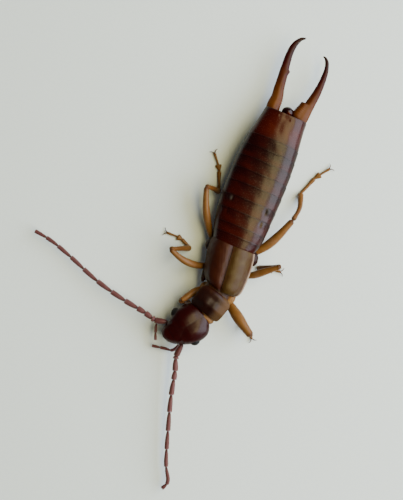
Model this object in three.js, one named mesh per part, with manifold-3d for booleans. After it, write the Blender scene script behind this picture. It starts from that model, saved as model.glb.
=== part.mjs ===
// An earwig with long forceps, life size, standing still on six feet.
// Millimetres, +Z up. The head points to -Y, the forceps to +Y, and +X is the animal's left.
import * as THREE from "three";
import { mergeVertices } from "three/addons/utils/BufferGeometryUtils.js";
import Module from "manifold-3d";

const wasm = await Module();
wasm.setup();

// Driving dimensions
const GAP = 0.2; // clear space between neighbouring pieces
const EYE_GAP = 0.12; // the same, round an eye in its socket
const THIN = 0.25; // least radius of a leg, feeler or palp
const ORIGIN = [-3.415, -1.904]; // body-frame point that becomes the origin, below the middle of the box
const RING = 20; // sides of a body section
const ROD = 7; // sides of a limb

const ABDOMEN = {
  front: -0.72,
  rear: 6.75,
  level: 1.12,
  up: 0.84,
  down: 0.68,
  step: 0.06, // how far a tergite's hind edge stands over the next one
  // hind edges of the tergites, front to back
  edges: [-0.42, 0.1, 0.85, 1.6, 2.4, 3.15, 3.85, 4.5, 5.15, 6.75],
  // outline seen from above: [y, middle x, half width]
  outline: [
    [-0.72, 0.0, 1.24],
    [0, -0.04, 1.46],
    [1, -0.12, 1.57],
    [2.5, -0.165, 1.63],
    [4, -0.19, 1.6],
    [5, -0.19, 1.51],
    [6, -0.165, 1.335],
    [6.75, -0.13, 1.215],
  ],
  folds: [0.6, 1.5], // scent-gland folds on the third and fourth tergites
};
const THORAX = { front: -3.08, rear: -0.98, lean: -0.12, x: 0.0, level: 1.0, half: 0.78, up: 0.42, down: 0.5 };
const TEGMEN = { front: -3.4, rear: -0.97, half: 1.38, top: 2.1, hem: 1.16 };
const PRONOTUM = { at: [0.09, -4.27], turn: -0.27, half: 0.93, front: 0.68, rear: 0.66, top: 1.98, thick: 0.5 };
const HEAD = {
  at: [-0.65, -6.0],
  turn: -0.64,
  level: 1.14,
  up: 0.6,
  down: 0.52,
  // outline seen from above: [forward, middle to the left, half width]
  outline: [
    [-1.16, 0.04, 0.45],
    [-1.08, -0.04, 0.7],
    [-0.92, -0.03, 0.9],
    [-0.7, -0.01, 1.02],
    [-0.35, 0, 1.09],
    [0, 0, 1.08],
    [0.3, 0, 0.98],
    [0.66, 0.01, 0.78],
    [0.9, -0.02, 0.66],
    [1.13, -0.065, 0.52],
    [1.27, -0.1, 0.4],
    [1.38, -0.14, 0.22],
  ],
};
const EYE = { forward: { left: 0.0, right: 0.12 }, out: 0.92, up: 0.05, size: [0.22, 0.31, 0.27] };

// Limb centre lines, root to tip. A foot's points lie at the height FOOT.
const FOOT = 0.21;
const LEGS = {
  leg_front_left: {
    femur: [[1.12, -4.02, 0.62], [1.5, -4.27, 0.95], [2.1, -4.67, 1.25], [2.76, -5.08, 1.35]],
    tibia: [[2.8, -5.06, 1.3], [2.52, -4.94, 0.8], [2.2, -4.72, 0.3]],
    tarsus: [[2.18, -4.7, FOOT], [2.5, -4.88, FOOT], [2.72, -5.02, FOOT], [2.97, -5.3, FOOT]],
  },
  leg_front_right: {
    femur: [[-0.74, -3.8, 0.6], [-0.98, -4.08, 0.85], [-1.24, -4.45, 1.08], [-1.46, -4.8, 1.2]],
    tibia: [[-1.46, -4.82, 1.15], [-1.28, -4.82, 0.72], [-0.98, -4.87, 0.3]],
    tarsus: [[-0.94, -4.88, FOOT], [-1.1, -5.22, FOOT], [-1.18, -5.42, FOOT], [-1.3, -5.72, FOOT]],
  },
  leg_middle_left: {
    femur: [[1.3, -2.2, 0.56], [1.7, -2.05, 0.72], [2.28, -1.62, 1.25], [2.8, -1.0, 1.5]],
    tibia: [[2.82, -0.98, 1.46], [2.3, -1.22, 0.95], [1.78, -1.55, 0.32]],
    tarsus: [[1.74, -1.5, FOOT], [2.2, -1.4, FOOT], [2.6, -1.33, FOOT], [3.02, -1.24, FOOT]],
  },
  leg_middle_right: {
    femur: [[-0.95, -2.52, 0.56], [-1.4, -2.68, 0.74], [-2.3, -2.68, 1.3], [-3.05, -2.46, 1.5]],
    tibia: [[-3.06, -2.42, 1.46], [-2.6, -2.2, 0.95], [-2.2, -2.0, 0.32]],
    tarsus: [[-2.16, -1.97, FOOT], [-2.75, -1.72, FOOT], [-3.05, -1.66, FOOT], [-3.68, -1.7, FOOT]],
  },
  leg_hind_left: {
    femur: [[1.24, -0.8, 0.42], [1.76, -0.15, 0.62], [2.08, 0.6, 1.0], [2.44, 1.58, 1.2]],
    tibia: [[2.45, 1.62, 1.18], [2.54, 2.35, 0.8], [2.36, 3.18, 0.3]],
    tarsus: [[2.35, 3.24, FOOT], [2.73, 4.28, FOOT], [2.92, 4.58, FOOT], [3.28, 5.14, FOOT]],
  },
  leg_hind_right: {
    femur: [[-1.2, -0.98, 0.42], [-1.7, -0.48, 0.66], [-2.2, 0.3, 1.12], [-2.6, 1.42, 1.5]],
    tibia: [[-2.62, 1.48, 1.46], [-2.25, 1.5, 0.95], [-1.94, 1.54, 0.34]],
    tarsus: [[-1.92, 1.62, FOOT], [-2.34, 2.62, FOOT], [-2.5, 2.88, FOOT], [-2.92, 3.38, FOOT]],
  },
};
const CLAW = { reach: 0.3, spread: 0.75, radius: 0.09 };
const FEELERS = {
  antenna_right: {
    line: [
      [-1.93, -6.27, 1.12],
      [-2.32, -6.34, 1.08],
      [-3.05, -6.22, 1.0],
      [-4.4, -6.04, 0.88],
      [-6.2, -5.64, 0.72],
      [-8.05, -5.0, 0.6],
      [-9.5, -4.58, 0.56],
      [-10.42, -4.46, 0.54],
    ],
    // where its joints lie, as shares of its length
    joints: [0.06, 0.08, 0.13, 0.19, 0.28, 0.382, 0.495, 0.61, 0.72, 0.828, 0.917, 1],
  },
  antenna_left: {
    line: [
      [-0.47, -7.27, 1.12],
      [-0.52, -7.7, 1.08],
      [-0.27, -8.45, 1.0],
      [0.07, -9.8, 0.88],
      [0.66, -11.65, 0.72],
      [1.38, -13.6, 0.6],
      [1.77, -14.4, 0.56],
      [1.62, -14.82, 0.5],
    ],
    joints: [0.06, 0.082, 0.165, 0.225, 0.335, 0.452, 0.585, 0.71, 0.83, 0.955, 1],
  },
};
const PALPS = {
  palp_left: [[-0.9, -6.72, 0.38], [-0.66, -7.2, 0.4], [-0.8, -7.54, 0.38], [-1.3, -7.66, 0.33], [-2.0, -7.77, 0.28]],
  palp_right: [[-1.42, -6.4, 0.4], [-1.95, -6.25, 0.42], [-2.2, -6.52, 0.5], [-2.1, -6.95, 0.65], [-1.94, -7.36, 0.78]],
};
// Centre line of each forceps arm with its half width: [x, y, z, half width]
const FORCEPS = {
  forceps_right: [
    [-0.98, 6.95, 1.12, 0.34],
    [-0.98, 7.5, 1.12, 0.3],
    [-1.07, 8.0, 1.13, 0.26],
    [-1.13, 8.5, 1.15, 0.25],
    [-1.18, 9.0, 1.17, 0.25],
    [-1.24, 9.5, 1.19, 0.22],
    [-1.27, 10.0, 1.21, 0.2],
    [-1.23, 10.4, 1.23, 0.18],
    [-1.13, 10.72, 1.25, 0.16],
    [-0.97, 10.94, 1.26, 0.12],
    [-0.78, 11.04, 1.27, 0.05],
  ],
  forceps_left: [
    [0.68, 6.93, 1.12, 0.37],
    [0.77, 7.5, 1.12, 0.3],
    [0.87, 8.0, 1.13, 0.25],
    [0.93, 8.5, 1.15, 0.23],
    [0.97, 9.0, 1.17, 0.2],
    [0.97, 9.5, 1.19, 0.18],
    [0.9, 10.0, 1.21, 0.15],
    [0.78, 10.3, 1.23, 0.12],
    [0.65, 10.46, 1.24, 0.09],
    [0.48, 10.54, 1.25, 0.04],
  ],
};
const FORCEPS_TEETH = {
  forceps_right: [{ at: [-0.98, 8.98, 1.15], size: [0.09, 0.12, 0.1] }],
  forceps_left: [{ at: [0.46, 7.36, 1.05], size: [0.24, 0.36, 0.16] }],
};
const PYGIDIUM = { at: [-0.12, 6.98, 1.2], size: [0.34, 0.27, 0.3] };

// Materials, one for each finish
const finish = (color, roughness) => new THREE.MeshStandardMaterial({ color, roughness, metalness: 0 });
const MATERIALS = {
  head: finish(0x3a120c, 0.3),
  eye: finish(0x0c0708, 0.25),
  thorax: finish(0x4a2412, 0.4),
  tegmen: finish(0x5a3218, 0.35),
  abdomen: finish(0x3c0e08, 0.28),
  forceps: finish(0x8a4a14, 0.3),
  leg: finish(0xa86a1c, 0.4),
  feeler: finish(0x6e2e22, 0.5),
  membrane: finish(0x8a6034, 0.6),
};

// Linear reading of a table whose rows start with their own coordinate
function read(table, at, column) {
  const last = table.length - 1;
  if (at <= table[0][0]) return table[0][column];
  if (at >= table[last][0]) return table[last][column];
  const i = table.findIndex((row) => row[0] > at);
  const [a, b] = [table[i - 1], table[i]];
  const share = (at - a[0]) / (b[0] - a[0]);
  return a[column] + (b[column] - a[column]) * share;
}

// Smooth reading of the same table: the average over a short window
function smooth(table, at, column, window = 0.5) {
  const offsets = [-1, -0.5, 0, 0.5, 1];
  return offsets.reduce((sum, o) => sum + read(table, at + o * window, column), 0) / offsets.length;
}

// A closed skin over a row of sections. Each section has a centre, a side vector, an up vector and a lower up vector.
// The grid is that of a closed cylinder, whose rings are moved to the sections.
function skin(sections, sides = RING) {
  const rows = sections.length - 1;
  const geometry = new THREE.CylinderGeometry(1, 1, 1, sides, rows, false);
  const position = geometry.attributes.position;
  for (let i = 0; i < position.count; i++) {
    const p = new THREE.Vector3().fromBufferAttribute(position, i);
    const section = sections[Math.round((0.5 - p.y) * rows)];
    const square = (v) => Math.sign(v) * Math.abs(v) ** (section.power ?? 1);
    const onSide = square(p.x);
    const onUp = square(p.z);
    const place = section.at
      .clone()
      .addScaledVector(section.side, onSide)
      .addScaledVector(onUp > 0 ? section.up : section.down, onUp);
    position.setXYZ(i, place.x, place.y, place.z);
  }
  return solid(geometry);
}

// A three.js geometry as a solid, turned right side out
function solid(geometry) {
  geometry.deleteAttribute("normal");
  geometry.deleteAttribute("uv");
  const merged = mergeVertices(geometry, 1e-4);
  const make = (triVerts) =>
    new wasm.Manifold(new wasm.Mesh({ numProp: 3, vertProperties: merged.attributes.position.array, triVerts }));
  const triVerts = new Uint32Array(merged.index.array);
  const made = make(triVerts);
  return made.volume() > 0 ? made : make(triVerts.map((v, i) => triVerts[i - (i % 3) + 2 - (i % 3)]));
}

// An upright section of a body part: its heading is the turn about Z from the -Y direction
function upright([x, y, z], turn, half, up, down, power = 0.85) {
  return {
    at: new THREE.Vector3(x, y, z),
    side: new THREE.Vector3(Math.cos(turn) * half, Math.sin(turn) * half, 0),
    up: new THREE.Vector3(0, 0, up),
    down: new THREE.Vector3(0, 0, down),
    power,
  };
}

const evenly = (steps) => Array.from({ length: steps + 1 }, (_, i) => i / steps);

// A limb: a round rod along a smooth line, with its half width and half height from size(share of the length)
function rod(points, size, stations, sides = ROD) {
  const line = new THREE.CatmullRomCurve3(points.map((p) => new THREE.Vector3(...p)), false, "centripetal");
  const top = new THREE.Vector3(0, 0, 1);
  const sections = [];
  for (const t of stations) {
    const along = line.getTangentAt(t);
    const side = new THREE.Vector3().crossVectors(along, top).normalize();
    const up = new THREE.Vector3().crossVectors(side, along).normalize();
    const [half, high] = size(t);
    sections.push({
      at: line.getPointAt(t),
      side: side.multiplyScalar(half),
      up: up.clone().multiplyScalar(high),
      down: up.clone().multiplyScalar(high),
    });
  }
  return skin(sections, sides);
}

// 1 along a rod and falling in a quarter ellipse over `cap` at each end
const rounded = (t, cap) => Math.sqrt(Math.max(0.1, 1 - Math.max(0, 1 - Math.min(t, 1 - t) / cap) ** 2));

// An egg: a sphere with its own radii and turn
function egg([x, y, z], [rx, ry, rz], turn = 0, steps = 8) {
  const geometry = new THREE.SphereGeometry(1, steps + 2, steps);
  geometry.scale(rx, ry, rz);
  geometry.rotateZ(turn);
  geometry.translate(x, y, z);
  return solid(geometry);
}

// A box between two corners
function block(low, high) {
  const size = high.map((v, i) => v - low[i]);
  const geometry = new THREE.BoxGeometry(...size);
  geometry.translate(...low.map((v, i) => v + size[i] / 2));
  return solid(geometry);
}
const BELOW_FLOOR = block([-20, -20, -5], [20, 20, 0]);

const join = (pieces) => pieces.reduce((sum, piece) => sum.add(piece));

// The largest closed body of a solid as a named mesh
function node(name, made, material) {
  const [largest] = made.decompose().sort((a, b) => b.volume() - a.volume());
  const mesh = largest.getMesh();
  const points = new Float32Array(mesh.numVert * 3);
  for (let i = 0; i < mesh.numVert; i++) {
    points.set(mesh.vertProperties.subarray(i * mesh.numProp, i * mesh.numProp + 3), i * 3);
  }
  const geometry = new THREE.BufferGeometry()
    .setAttribute("position", new THREE.BufferAttribute(points, 3))
    .setIndex(new THREE.BufferAttribute(mesh.triVerts, 1));
  geometry.computeVertexNormals();
  const piece = new THREE.Mesh(geometry, MATERIALS[material]);
  piece.name = name;
  return piece;
}

// The abdomen: tergites that each widen to a hind edge and overlap the next, on one tapering body
function abdomen(grow = 0) {
  const sections = [];
  let front = ABDOMEN.front;
  const add = (y, inset) => {
    const high = Math.min(1, 0.72 + 0.28 * (y - ABDOMEN.front)) * (y > 5 ? 1 - 0.1 * (y - 5) : 1);
    sections.push(
      upright(
        [smooth(ABDOMEN.outline, y, 1), y, ABDOMEN.level],
        0,
        smooth(ABDOMEN.outline, y, 2) - inset + grow,
        ABDOMEN.up * high - inset + grow,
        ABDOMEN.down * high - inset * 0.6 + grow,
      ),
    );
  };
  for (const edge of ABDOMEN.edges) {
    const span = edge - front;
    add(front + 0.02, ABDOMEN.step);
    add(front + span * 0.45, ABDOMEN.step * 0.35);
    add(edge - 0.03, 0);
    front = edge;
  }
  add(ABDOMEN.rear, 0.05);
  return skin(sections);
}

// The scent-gland folds on both sides of the abdomen
function glandFolds() {
  return ABDOMEN.folds.flatMap((y) =>
    [-1, 1].map((side) => {
      const x = smooth(ABDOMEN.outline, y, 1) + side * (smooth(ABDOMEN.outline, y, 2) - 0.26);
      return egg([x, y, ABDOMEN.level + 0.42], [0.14, 0.2, 0.13], 0, 8);
    }),
  );
}

// The middle of the thorax, seen from above
const axis = (y) => THORAX.x + THORAX.lean * (y - THORAX.rear);

// Middle and hind thorax: the core under the wing cases, the side plates and the leg sockets
function thorax(grow = 0) {
  const core = [THORAX.front, -2.9, -2.4, -1.9, -1.4, -1.1, THORAX.rear].map((y, i, all) => {
    const end = i === 0 || i === all.length - 1 ? 0.88 : 1;
    return upright(
      [axis(y), y - (i === 0 ? grow : 0) + (i === all.length - 1 ? grow : 0), THORAX.level],
      THORAX.lean * Math.min(1, (THORAX.rear - y) / 1.2),
      THORAX.half * end + grow,
      THORAX.up * end + grow,
      THORAX.down * end + grow,
    );
  });
  const lumps = [
    { at: [-1.12, -1.32, 0.82], size: [0.32, 0.36, 0.3], turn: -0.35 },
    { at: [1.24, -1.22, 0.82], size: [0.32, 0.36, 0.3], turn: 0.2 },
    { at: [-0.72, -2.35, 0.66], size: [0.34, 0.42, 0.3], turn: 0 },
    { at: [0.95, -2.2, 0.66], size: [0.36, 0.42, 0.3], turn: 0 },
  ].map(({ at, size, turn }) => egg(at, size.map((s) => s + grow), turn));
  return join([skin(core), ...lumps]);
}

// The front thorax under the pronotum, with the sockets of the front legs
function prothorax(grow = 0) {
  const stations = [
    [0.2, -3.3, 0.62],
    [0.16, -3.6, 0.72],
    [0.12, -4.0, 0.74],
    [0.1, -4.3, 0.68],
    [0.1, -4.5, 0.5],
  ];
  const core = stations.map(([x, y, half], i) =>
    upright(
      [x, y + (i === 0 ? grow : 0) - (i === stations.length - 1 ? grow : 0), 0.92],
      PRONOTUM.turn * 0.6,
      half + grow,
      0.36 + grow,
      0.44 + grow,
    ),
  );
  const sockets = [
    egg([0.86, -3.78, 0.78], [0.38, 0.42, 0.34].map((s) => s + grow), -0.3),
    egg([-0.5, -3.72, 0.76], [0.3, 0.4, 0.32].map((s) => s + grow), 0.3),
  ];
  return join([skin(core), ...sockets]);
}

// The shield over the front thorax, with a turned-up front edge and thin side rims
function pronotum(grow = 0) {
  const { at, turn, half, front, rear, top, thick } = PRONOTUM;
  const ahead = [Math.sin(turn), -Math.cos(turn)];
  // [forward, half width, height of the back]
  const rows = [
    [front, half * 0.9, 0.14],
    [front - 0.06, half * 0.97, 0.26],
    [front * 0.55, half, 0.3],
    [0, half, 0.28],
    [-rear * 0.5, half * 0.99, 0.24],
    [-rear * 0.85, half * 0.9, 0.2],
    [-rear, half * 0.7, 0.12],
  ];
  return skin(
    rows.map(([forward, wide, back], i) => {
      const reach = forward + (i === 0 ? grow : 0) - (i === rows.length - 1 ? grow : 0);
      const place = [at[0] + ahead[0] * reach, at[1] + ahead[1] * reach, top - 0.3];
      return upright(place, turn, wide + grow, back + grow, thick - 0.28 + grow, 0.7);
    }),
  );
}

// The curved lid that both wing cases are halves of; it straightens towards its hind edge
function lid(grow = 0) {
  // [y, share of the half width, share of the height]
  const rows = [
    [TEGMEN.front, 0.62, 0.72],
    [TEGMEN.front + 0.12, 0.82, 0.86],
    [TEGMEN.front + 0.4, 0.95, 0.96],
    [-2.6, 1, 1],
    [-1.8, 1, 1],
    [-1.15, 0.97, 0.97],
    [TEGMEN.rear, 0.94, 0.93],
  ];
  return skin(
    rows.map(([y, wide, high], i) =>
      upright(
        [axis(y), y - (i === 0 ? grow : 0) + (i === rows.length - 1 ? grow : 0), TEGMEN.hem],
        THORAX.lean * Math.min(1, (TEGMEN.rear - y) / 1.2),
        TEGMEN.half * wide + grow,
        (TEGMEN.top - TEGMEN.hem) * high + grow,
        0.05 + grow,
        0.75,
      ),
    ),
  );
}

// A wing case: half of the lid, clear of its twin, of the thorax below and of the pronotum ahead
function tegmen(side) {
  const half = block([0, -6, 0], [5, 6, 5]).rotate([0, 0, THREE.MathUtils.radToDeg(THORAX.lean)]);
  const turned = side > 0 ? half : half.rotate([0, 0, 180]);
  const place = [axis(-2.2) + (side * GAP) / 2, -2.2, 0];
  return lid().intersect(turned.translate(place)).subtract(THORAX_CLEAR).subtract(PROTHORAX_CLEAR).subtract(pronotum(GAP));
}

// From head coordinates, forward and to the animal's left of the head's middle, to the body frame
function onHead(forward, left, z) {
  const { at, turn } = HEAD;
  return [
    at[0] + Math.sin(turn) * forward + Math.cos(turn) * left,
    at[1] - Math.cos(turn) * forward + Math.sin(turn) * left,
    z,
  ];
}

// The head capsule: lobed behind the eyes and drawn in to a blunt front
function capsule(grow = 0) {
  const last = HEAD.outline.length - 1;
  return skin(
    HEAD.outline.map(([forward, middle, half], i) => {
      const dome = Math.sqrt(Math.max(0.12, 1 - (forward / 1.55) ** 2)) * (i === 0 ? 0.75 : 1);
      const reach = forward - (i === 0 ? grow : 0) + (i === last ? grow : 0);
      return upright(
        onHead(reach, middle, HEAD.level - Math.max(0, forward) * 0.08),
        HEAD.turn,
        half + grow,
        HEAD.up * dome + grow,
        HEAD.down * dome + grow,
        0.86,
      );
    }),
  );
}

function head() {
  return [-1, 1].reduce((made, side) => made.subtract(eye(side, EYE_GAP)), capsule());
}

// A compound eye in its socket
function eye(side, grow = 0) {
  const forward = side > 0 ? EYE.forward.left : EYE.forward.right;
  const at = onHead(forward, EYE.out * side, HEAD.level + EYE.up);
  return egg(at, EYE.size.map((s) => s + grow), HEAD.turn, 10);
}

// Mandibles and lower lip, one block under the front of the head
function mouthparts(grow = 0) {
  const rows = [
    [1.2, 0.22],
    [1.05, 0.36],
    [0.75, 0.46],
    [0.3, 0.44],
    [0.0, 0.3],
  ];
  const under = rows.map(([forward, half], i) => {
    const reach = forward + (i === 0 ? grow : 0) - (i === rows.length - 1 ? grow : 0);
    return upright(onHead(reach, 0, 0.4), HEAD.turn, half + grow, 0.1 + grow, 0.16 + grow);
  });
  return skin(under, 16);
}

// The soft neck between the front thorax and the back of the head
function neck() {
  const back = [0.14, -4.7, 0.98];
  const front = onHead(-1.32, 0.05, 1.02);
  const middle = back.map((v, i) => (v + front[i]) / 2);
  return skin(
    [
      upright(back, PRONOTUM.turn, 0.44, 0.24, 0.26),
      upright(middle, (PRONOTUM.turn + HEAD.turn) / 2, 0.5, 0.27, 0.3),
      upright(front, HEAD.turn, 0.46, 0.25, 0.28),
    ],
    20,
  );
}

// A feeler: a long first piece, a tiny second, and pieces that each swell from a narrow foot to a wider end
function antenna({ line, joints }) {
  // [share of a piece, width there]
  const swell = [
    [0.04, 0.82],
    [0.5, 1.03],
    [0.95, 1.06],
  ];
  const stations = joints.flatMap((end, n) => {
    const start = n === 0 ? 0 : joints[n - 1];
    return swell.map(([share, wide]) => [start + (end - start) * share, wide * (n === 0 ? 1.08 : 1)]);
  });
  const rows = [[0, 0.6], ...stations, [1, 0.45]];
  const size = (t) => {
    const r = THIN * read(rows, t, 1) * (1.04 - 0.12 * t);
    return [r, r];
  };
  return rod(line, size, rows.map(([t]) => t)).subtract(HEAD_CLEAR);
}

// A palp: thin pieces in a row, a little thicker at the tip piece
function palp(points) {
  const size = (t) => {
    const r = (THIN * 0.92 - 0.06 * t + 0.02 * Math.sin(t * 25)) * rounded(t, 0.08);
    return [r, r];
  };
  return rod(points, size, evenly(15)).subtract(HEAD_CLEAR).subtract(MOUTH_CLEAR);
}

// The point a short way back from a line's last point, so that the next piece starts inside this one
function before(line, reach) {
  const end = new THREE.Vector3(...line.at(-1));
  const previous = new THREE.Vector3(...line.at(-2));
  return end.addScaledVector(previous.sub(end).normalize(), reach).toArray();
}

// A leg: thigh, shin and a foot of three pieces, the second with a broad lobe, and two claws
function leg({ femur, tibia, tarsus }) {
  const bulge = (t) => 0.2 + 0.09 * Math.sin(Math.PI * t ** 0.8);
  const round = (wide, high, cap) => (t) => [THIN * wide * rounded(t, cap), THIN * high * rounded(t, cap)];
  const thigh = rod(femur, (t) => [bulge(t) * rounded(t, 0.1), (bulge(t) + 0.01) * rounded(t, 0.1)], evenly(6));
  const shin = rod([before(femur, 0.14), ...tibia.slice(1)], (t) => [THIN * (0.86 + 0.1 * t) * rounded(t, 0.14), THIN * rounded(t, 0.14)], evenly(5));
  const heel = before(tibia, 0.12).with(2, FOOT);
  const first = rod([heel, tarsus[1]], round(0.84, 1, 0.2), evenly(4));
  const lobe = rod([before([heel, tarsus[1]], 0.08), tarsus[2]], round(1.16, 0.95, 0.45), evenly(4));
  const last = rod([before([tarsus[1], tarsus[2]], 0.08), tarsus[3]], round(0.82, 0.92, 0.22), evenly(4));
  const tip = new THREE.Vector3(...tarsus[3]);
  const ahead = tip.clone().sub(new THREE.Vector3(...tarsus[2])).normalize();
  const claws = [-1, 1].map((side) => {
    const out = ahead.clone().applyAxisAngle(new THREE.Vector3(0, 0, 1), side * CLAW.spread);
    const points = [
      tip.clone().addScaledVector(ahead, -0.12),
      tip.clone().addScaledVector(out, CLAW.reach * 0.6),
      tip.clone().addScaledVector(out, CLAW.reach).setZ(0.09),
    ];
    const size = (t) => [CLAW.radius * (1.1 - 0.7 * t), CLAW.radius * (1.3 - 0.8 * t)];
    return rod(points.map((p) => p.toArray()), size, evenly(3), 6);
  });
  const whole = join([thigh, shin, first, lobe, last, ...claws]);
  return BODY_CLEAR.reduce((made, part) => made.subtract(part), whole.subtract(BELOW_FLOOR));
}

// One arm of the forceps, flattened, with its basal lobe and its small tooth
function forceps(points, teeth) {
  const arm = points.map(([x, y, z, half], i) => {
    const before = points[Math.max(0, i - 1)];
    const after = points[Math.min(points.length - 1, i + 1)];
    const turn = Math.atan2(-(after[0] - before[0]), after[1] - before[1]);
    return upright([x, y, z], turn, half, Math.min(0.27, half * 0.95), Math.min(0.26, half * 0.95), 0.95);
  });
  const whole = join([skin(arm, 12), ...teeth.map(({ at, size }) => egg(at, size, 0, 8))]);
  return whole.subtract(pygidium(GAP)).subtract(ABDOMEN_CLEAR);
}

function pygidium(grow = 0) {
  return egg(PYGIDIUM.at, PYGIDIUM.size.map((s) => s + grow), 0, 12);
}

// Solids grown by the gap, which other pieces are cut by
const THORAX_CLEAR = thorax(GAP);
const PROTHORAX_CLEAR = prothorax(GAP);
const ABDOMEN_CLEAR = abdomen(GAP);
const HEAD_CLEAR = capsule(GAP);
const MOUTH_CLEAR = mouthparts(GAP);
const BODY_CLEAR = [THORAX_CLEAR, PROTHORAX_CLEAR, ABDOMEN_CLEAR, HEAD_CLEAR, MOUTH_CLEAR, lid(GAP)];

const earwig = new THREE.Group();
earwig.add(
  node("head", head(), "head"),
  node("eye_left", eye(1), "eye"),
  node("eye_right", eye(-1), "eye"),
  node("mouthparts", mouthparts().subtract(HEAD_CLEAR), "head"),
  node("neck", neck(), "membrane"),
  node("prothorax", prothorax(), "membrane"),
  node("pronotum", pronotum().subtract(HEAD_CLEAR), "thorax"),
  node("thorax", thorax(), "thorax"),
  node("tegmen_left", tegmen(1), "tegmen"),
  node("tegmen_right", tegmen(-1), "tegmen"),
  node("abdomen", join([abdomen(), ...glandFolds()]).subtract(pygidium(GAP)), "abdomen"),
  node("pygidium", pygidium(), "abdomen"),
);
for (const [name, points] of Object.entries(FEELERS)) {
  earwig.add(node(name, antenna(points), "feeler"));
}
for (const [name, points] of Object.entries(PALPS)) {
  earwig.add(node(name, palp(points), "feeler"));
}
for (const [name, points] of Object.entries(FORCEPS)) {
  earwig.add(node(name, forceps(points, FORCEPS_TEETH[name]), "forceps"));
}
for (const [name, parts] of Object.entries(LEGS)) {
  earwig.add(node(name, leg(parts), "leg"));
}
for (const piece of earwig.children) {
  piece.position.set(-ORIGIN[0], -ORIGIN[1], 0);
}

export default earwig;
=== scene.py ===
"""Dresses an earwig that stands still on a pale floor, as a life-size museum model.

Lengths are in millimetres in the animal's own frame: the head points to -Y, the forceps to +Y,
+X is the animal's left and the floor is at Z = 0. A Piece turns them into metres in the row frame.
"""

import logging
import math
from collections.abc import Sequence
from dataclasses import dataclass, field
from enum import Enum

import bpy
import numpy as np
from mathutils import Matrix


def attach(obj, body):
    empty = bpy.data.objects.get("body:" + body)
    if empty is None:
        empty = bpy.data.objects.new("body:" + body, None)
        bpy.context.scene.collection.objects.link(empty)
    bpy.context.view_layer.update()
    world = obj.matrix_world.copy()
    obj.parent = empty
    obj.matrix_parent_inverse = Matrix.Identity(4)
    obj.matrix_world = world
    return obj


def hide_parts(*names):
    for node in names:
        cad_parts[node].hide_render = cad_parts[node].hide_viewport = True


Array = np.ndarray
Pair = tuple[float, float]
Point = tuple[float, float, float]
Colour = tuple[float, float, float]

log = logging.getLogger("earwig")

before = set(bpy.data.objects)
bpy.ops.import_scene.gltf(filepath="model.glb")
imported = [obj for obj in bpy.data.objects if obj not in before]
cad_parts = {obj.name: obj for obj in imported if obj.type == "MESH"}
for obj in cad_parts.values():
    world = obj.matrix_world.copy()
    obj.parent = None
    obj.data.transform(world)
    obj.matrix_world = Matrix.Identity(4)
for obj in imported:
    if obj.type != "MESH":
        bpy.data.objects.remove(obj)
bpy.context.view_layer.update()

MM = 0.001
# The row frame's origin in the animal's frame.
ORIGIN = np.array([-3.415, -1.904, 0.0])
UP = np.array([0.0, 0.0, 1.0])
# The tone mark of every hair.
HAIR_TONE = 0.75
# How far light spreads inside a finish, in millimetres.
SCATTER = 0.3


def through(knots: Array, values: Array, at: Array, monotone: bool = False) -> Array:
    """Reads a smooth curve that passes through given values.

    The curve is a cubic in each span. Its slope at a knot is the mean of the chords on both sides,
    or their harmonic mean where it must not swing past the values.

    Args:
        knots: Rising places of the values.
        values: One value or row of values for each knot.
        at: Places to read.
        monotone: Whether the curve stays between neighbouring values.

    Returns:
        The values at those places.
    """
    knots, values, at = (np.asarray(a, float) for a in (knots, values, at))
    flat = values.reshape(len(knots), -1)
    step = np.diff(knots)[:, None]
    chord = np.diff(flat, axis=0) / step
    inner = (chord[1:] * step[:-1] + chord[:-1] * step[1:]) / (step[1:] + step[:-1])
    slope = np.vstack([chord[:1], inner, chord[-1:]])
    if monotone:
        product = chord[1:] * chord[:-1]
        total = chord[1:] + chord[:-1]
        safe = np.where(product > 0, total, 1.0)
        slope[1:-1] = np.where(product > 0, 2 * product / safe, 0.0)
    place = np.clip(at.ravel(), knots[0], knots[-1])
    i = np.clip(np.searchsorted(knots, place, side="right") - 1, 0, len(knots) - 2)
    h = step[i]
    u = (place - knots[i])[:, None] / h
    read = (
        (2 * u**3 - 3 * u**2 + 1) * flat[i]
        + (u**3 - 2 * u**2 + u) * h * slope[i]
        + (3 * u**2 - 2 * u**3) * flat[i + 1]
        + (u**3 - u**2) * h * slope[i + 1]
    )
    return read.reshape(at.shape + values.shape[1:])


def bell(distance: Array, width: float) -> Array:
    """A bell curve: the exponential of minus the squared distance over the width."""
    return np.exp(-((distance / width) ** 2))


def step_up(value: Array, low: float, high: float) -> Array:
    """A smooth step: 0 below low, 1 above high, and a cubic between them."""
    u = np.clip((value - low) / (high - low), 0.0, 1.0)
    return u * u * (3 - 2 * u)


def dome(share: Array, cap: float) -> Array:
    """Rounds both ends of a rod: a quarter ellipse over the share cap at each end, 1 between."""
    inner = np.clip(np.minimum(share, 1 - share) / cap, 0.0, 1.0)
    return np.sqrt(np.maximum(1e-4, 1 - (1 - inner) ** 2))


def end_to_end(rows: int, ease: float = 0.0) -> Array:
    """Shares from 0 to 1, crowded at both ends: a straight run blended with half a cosine by ease."""
    u = np.linspace(0.0, 1.0, rows)
    return (1 - ease) * u + ease * (1 - np.cos(math.pi * u)) / 2


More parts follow.
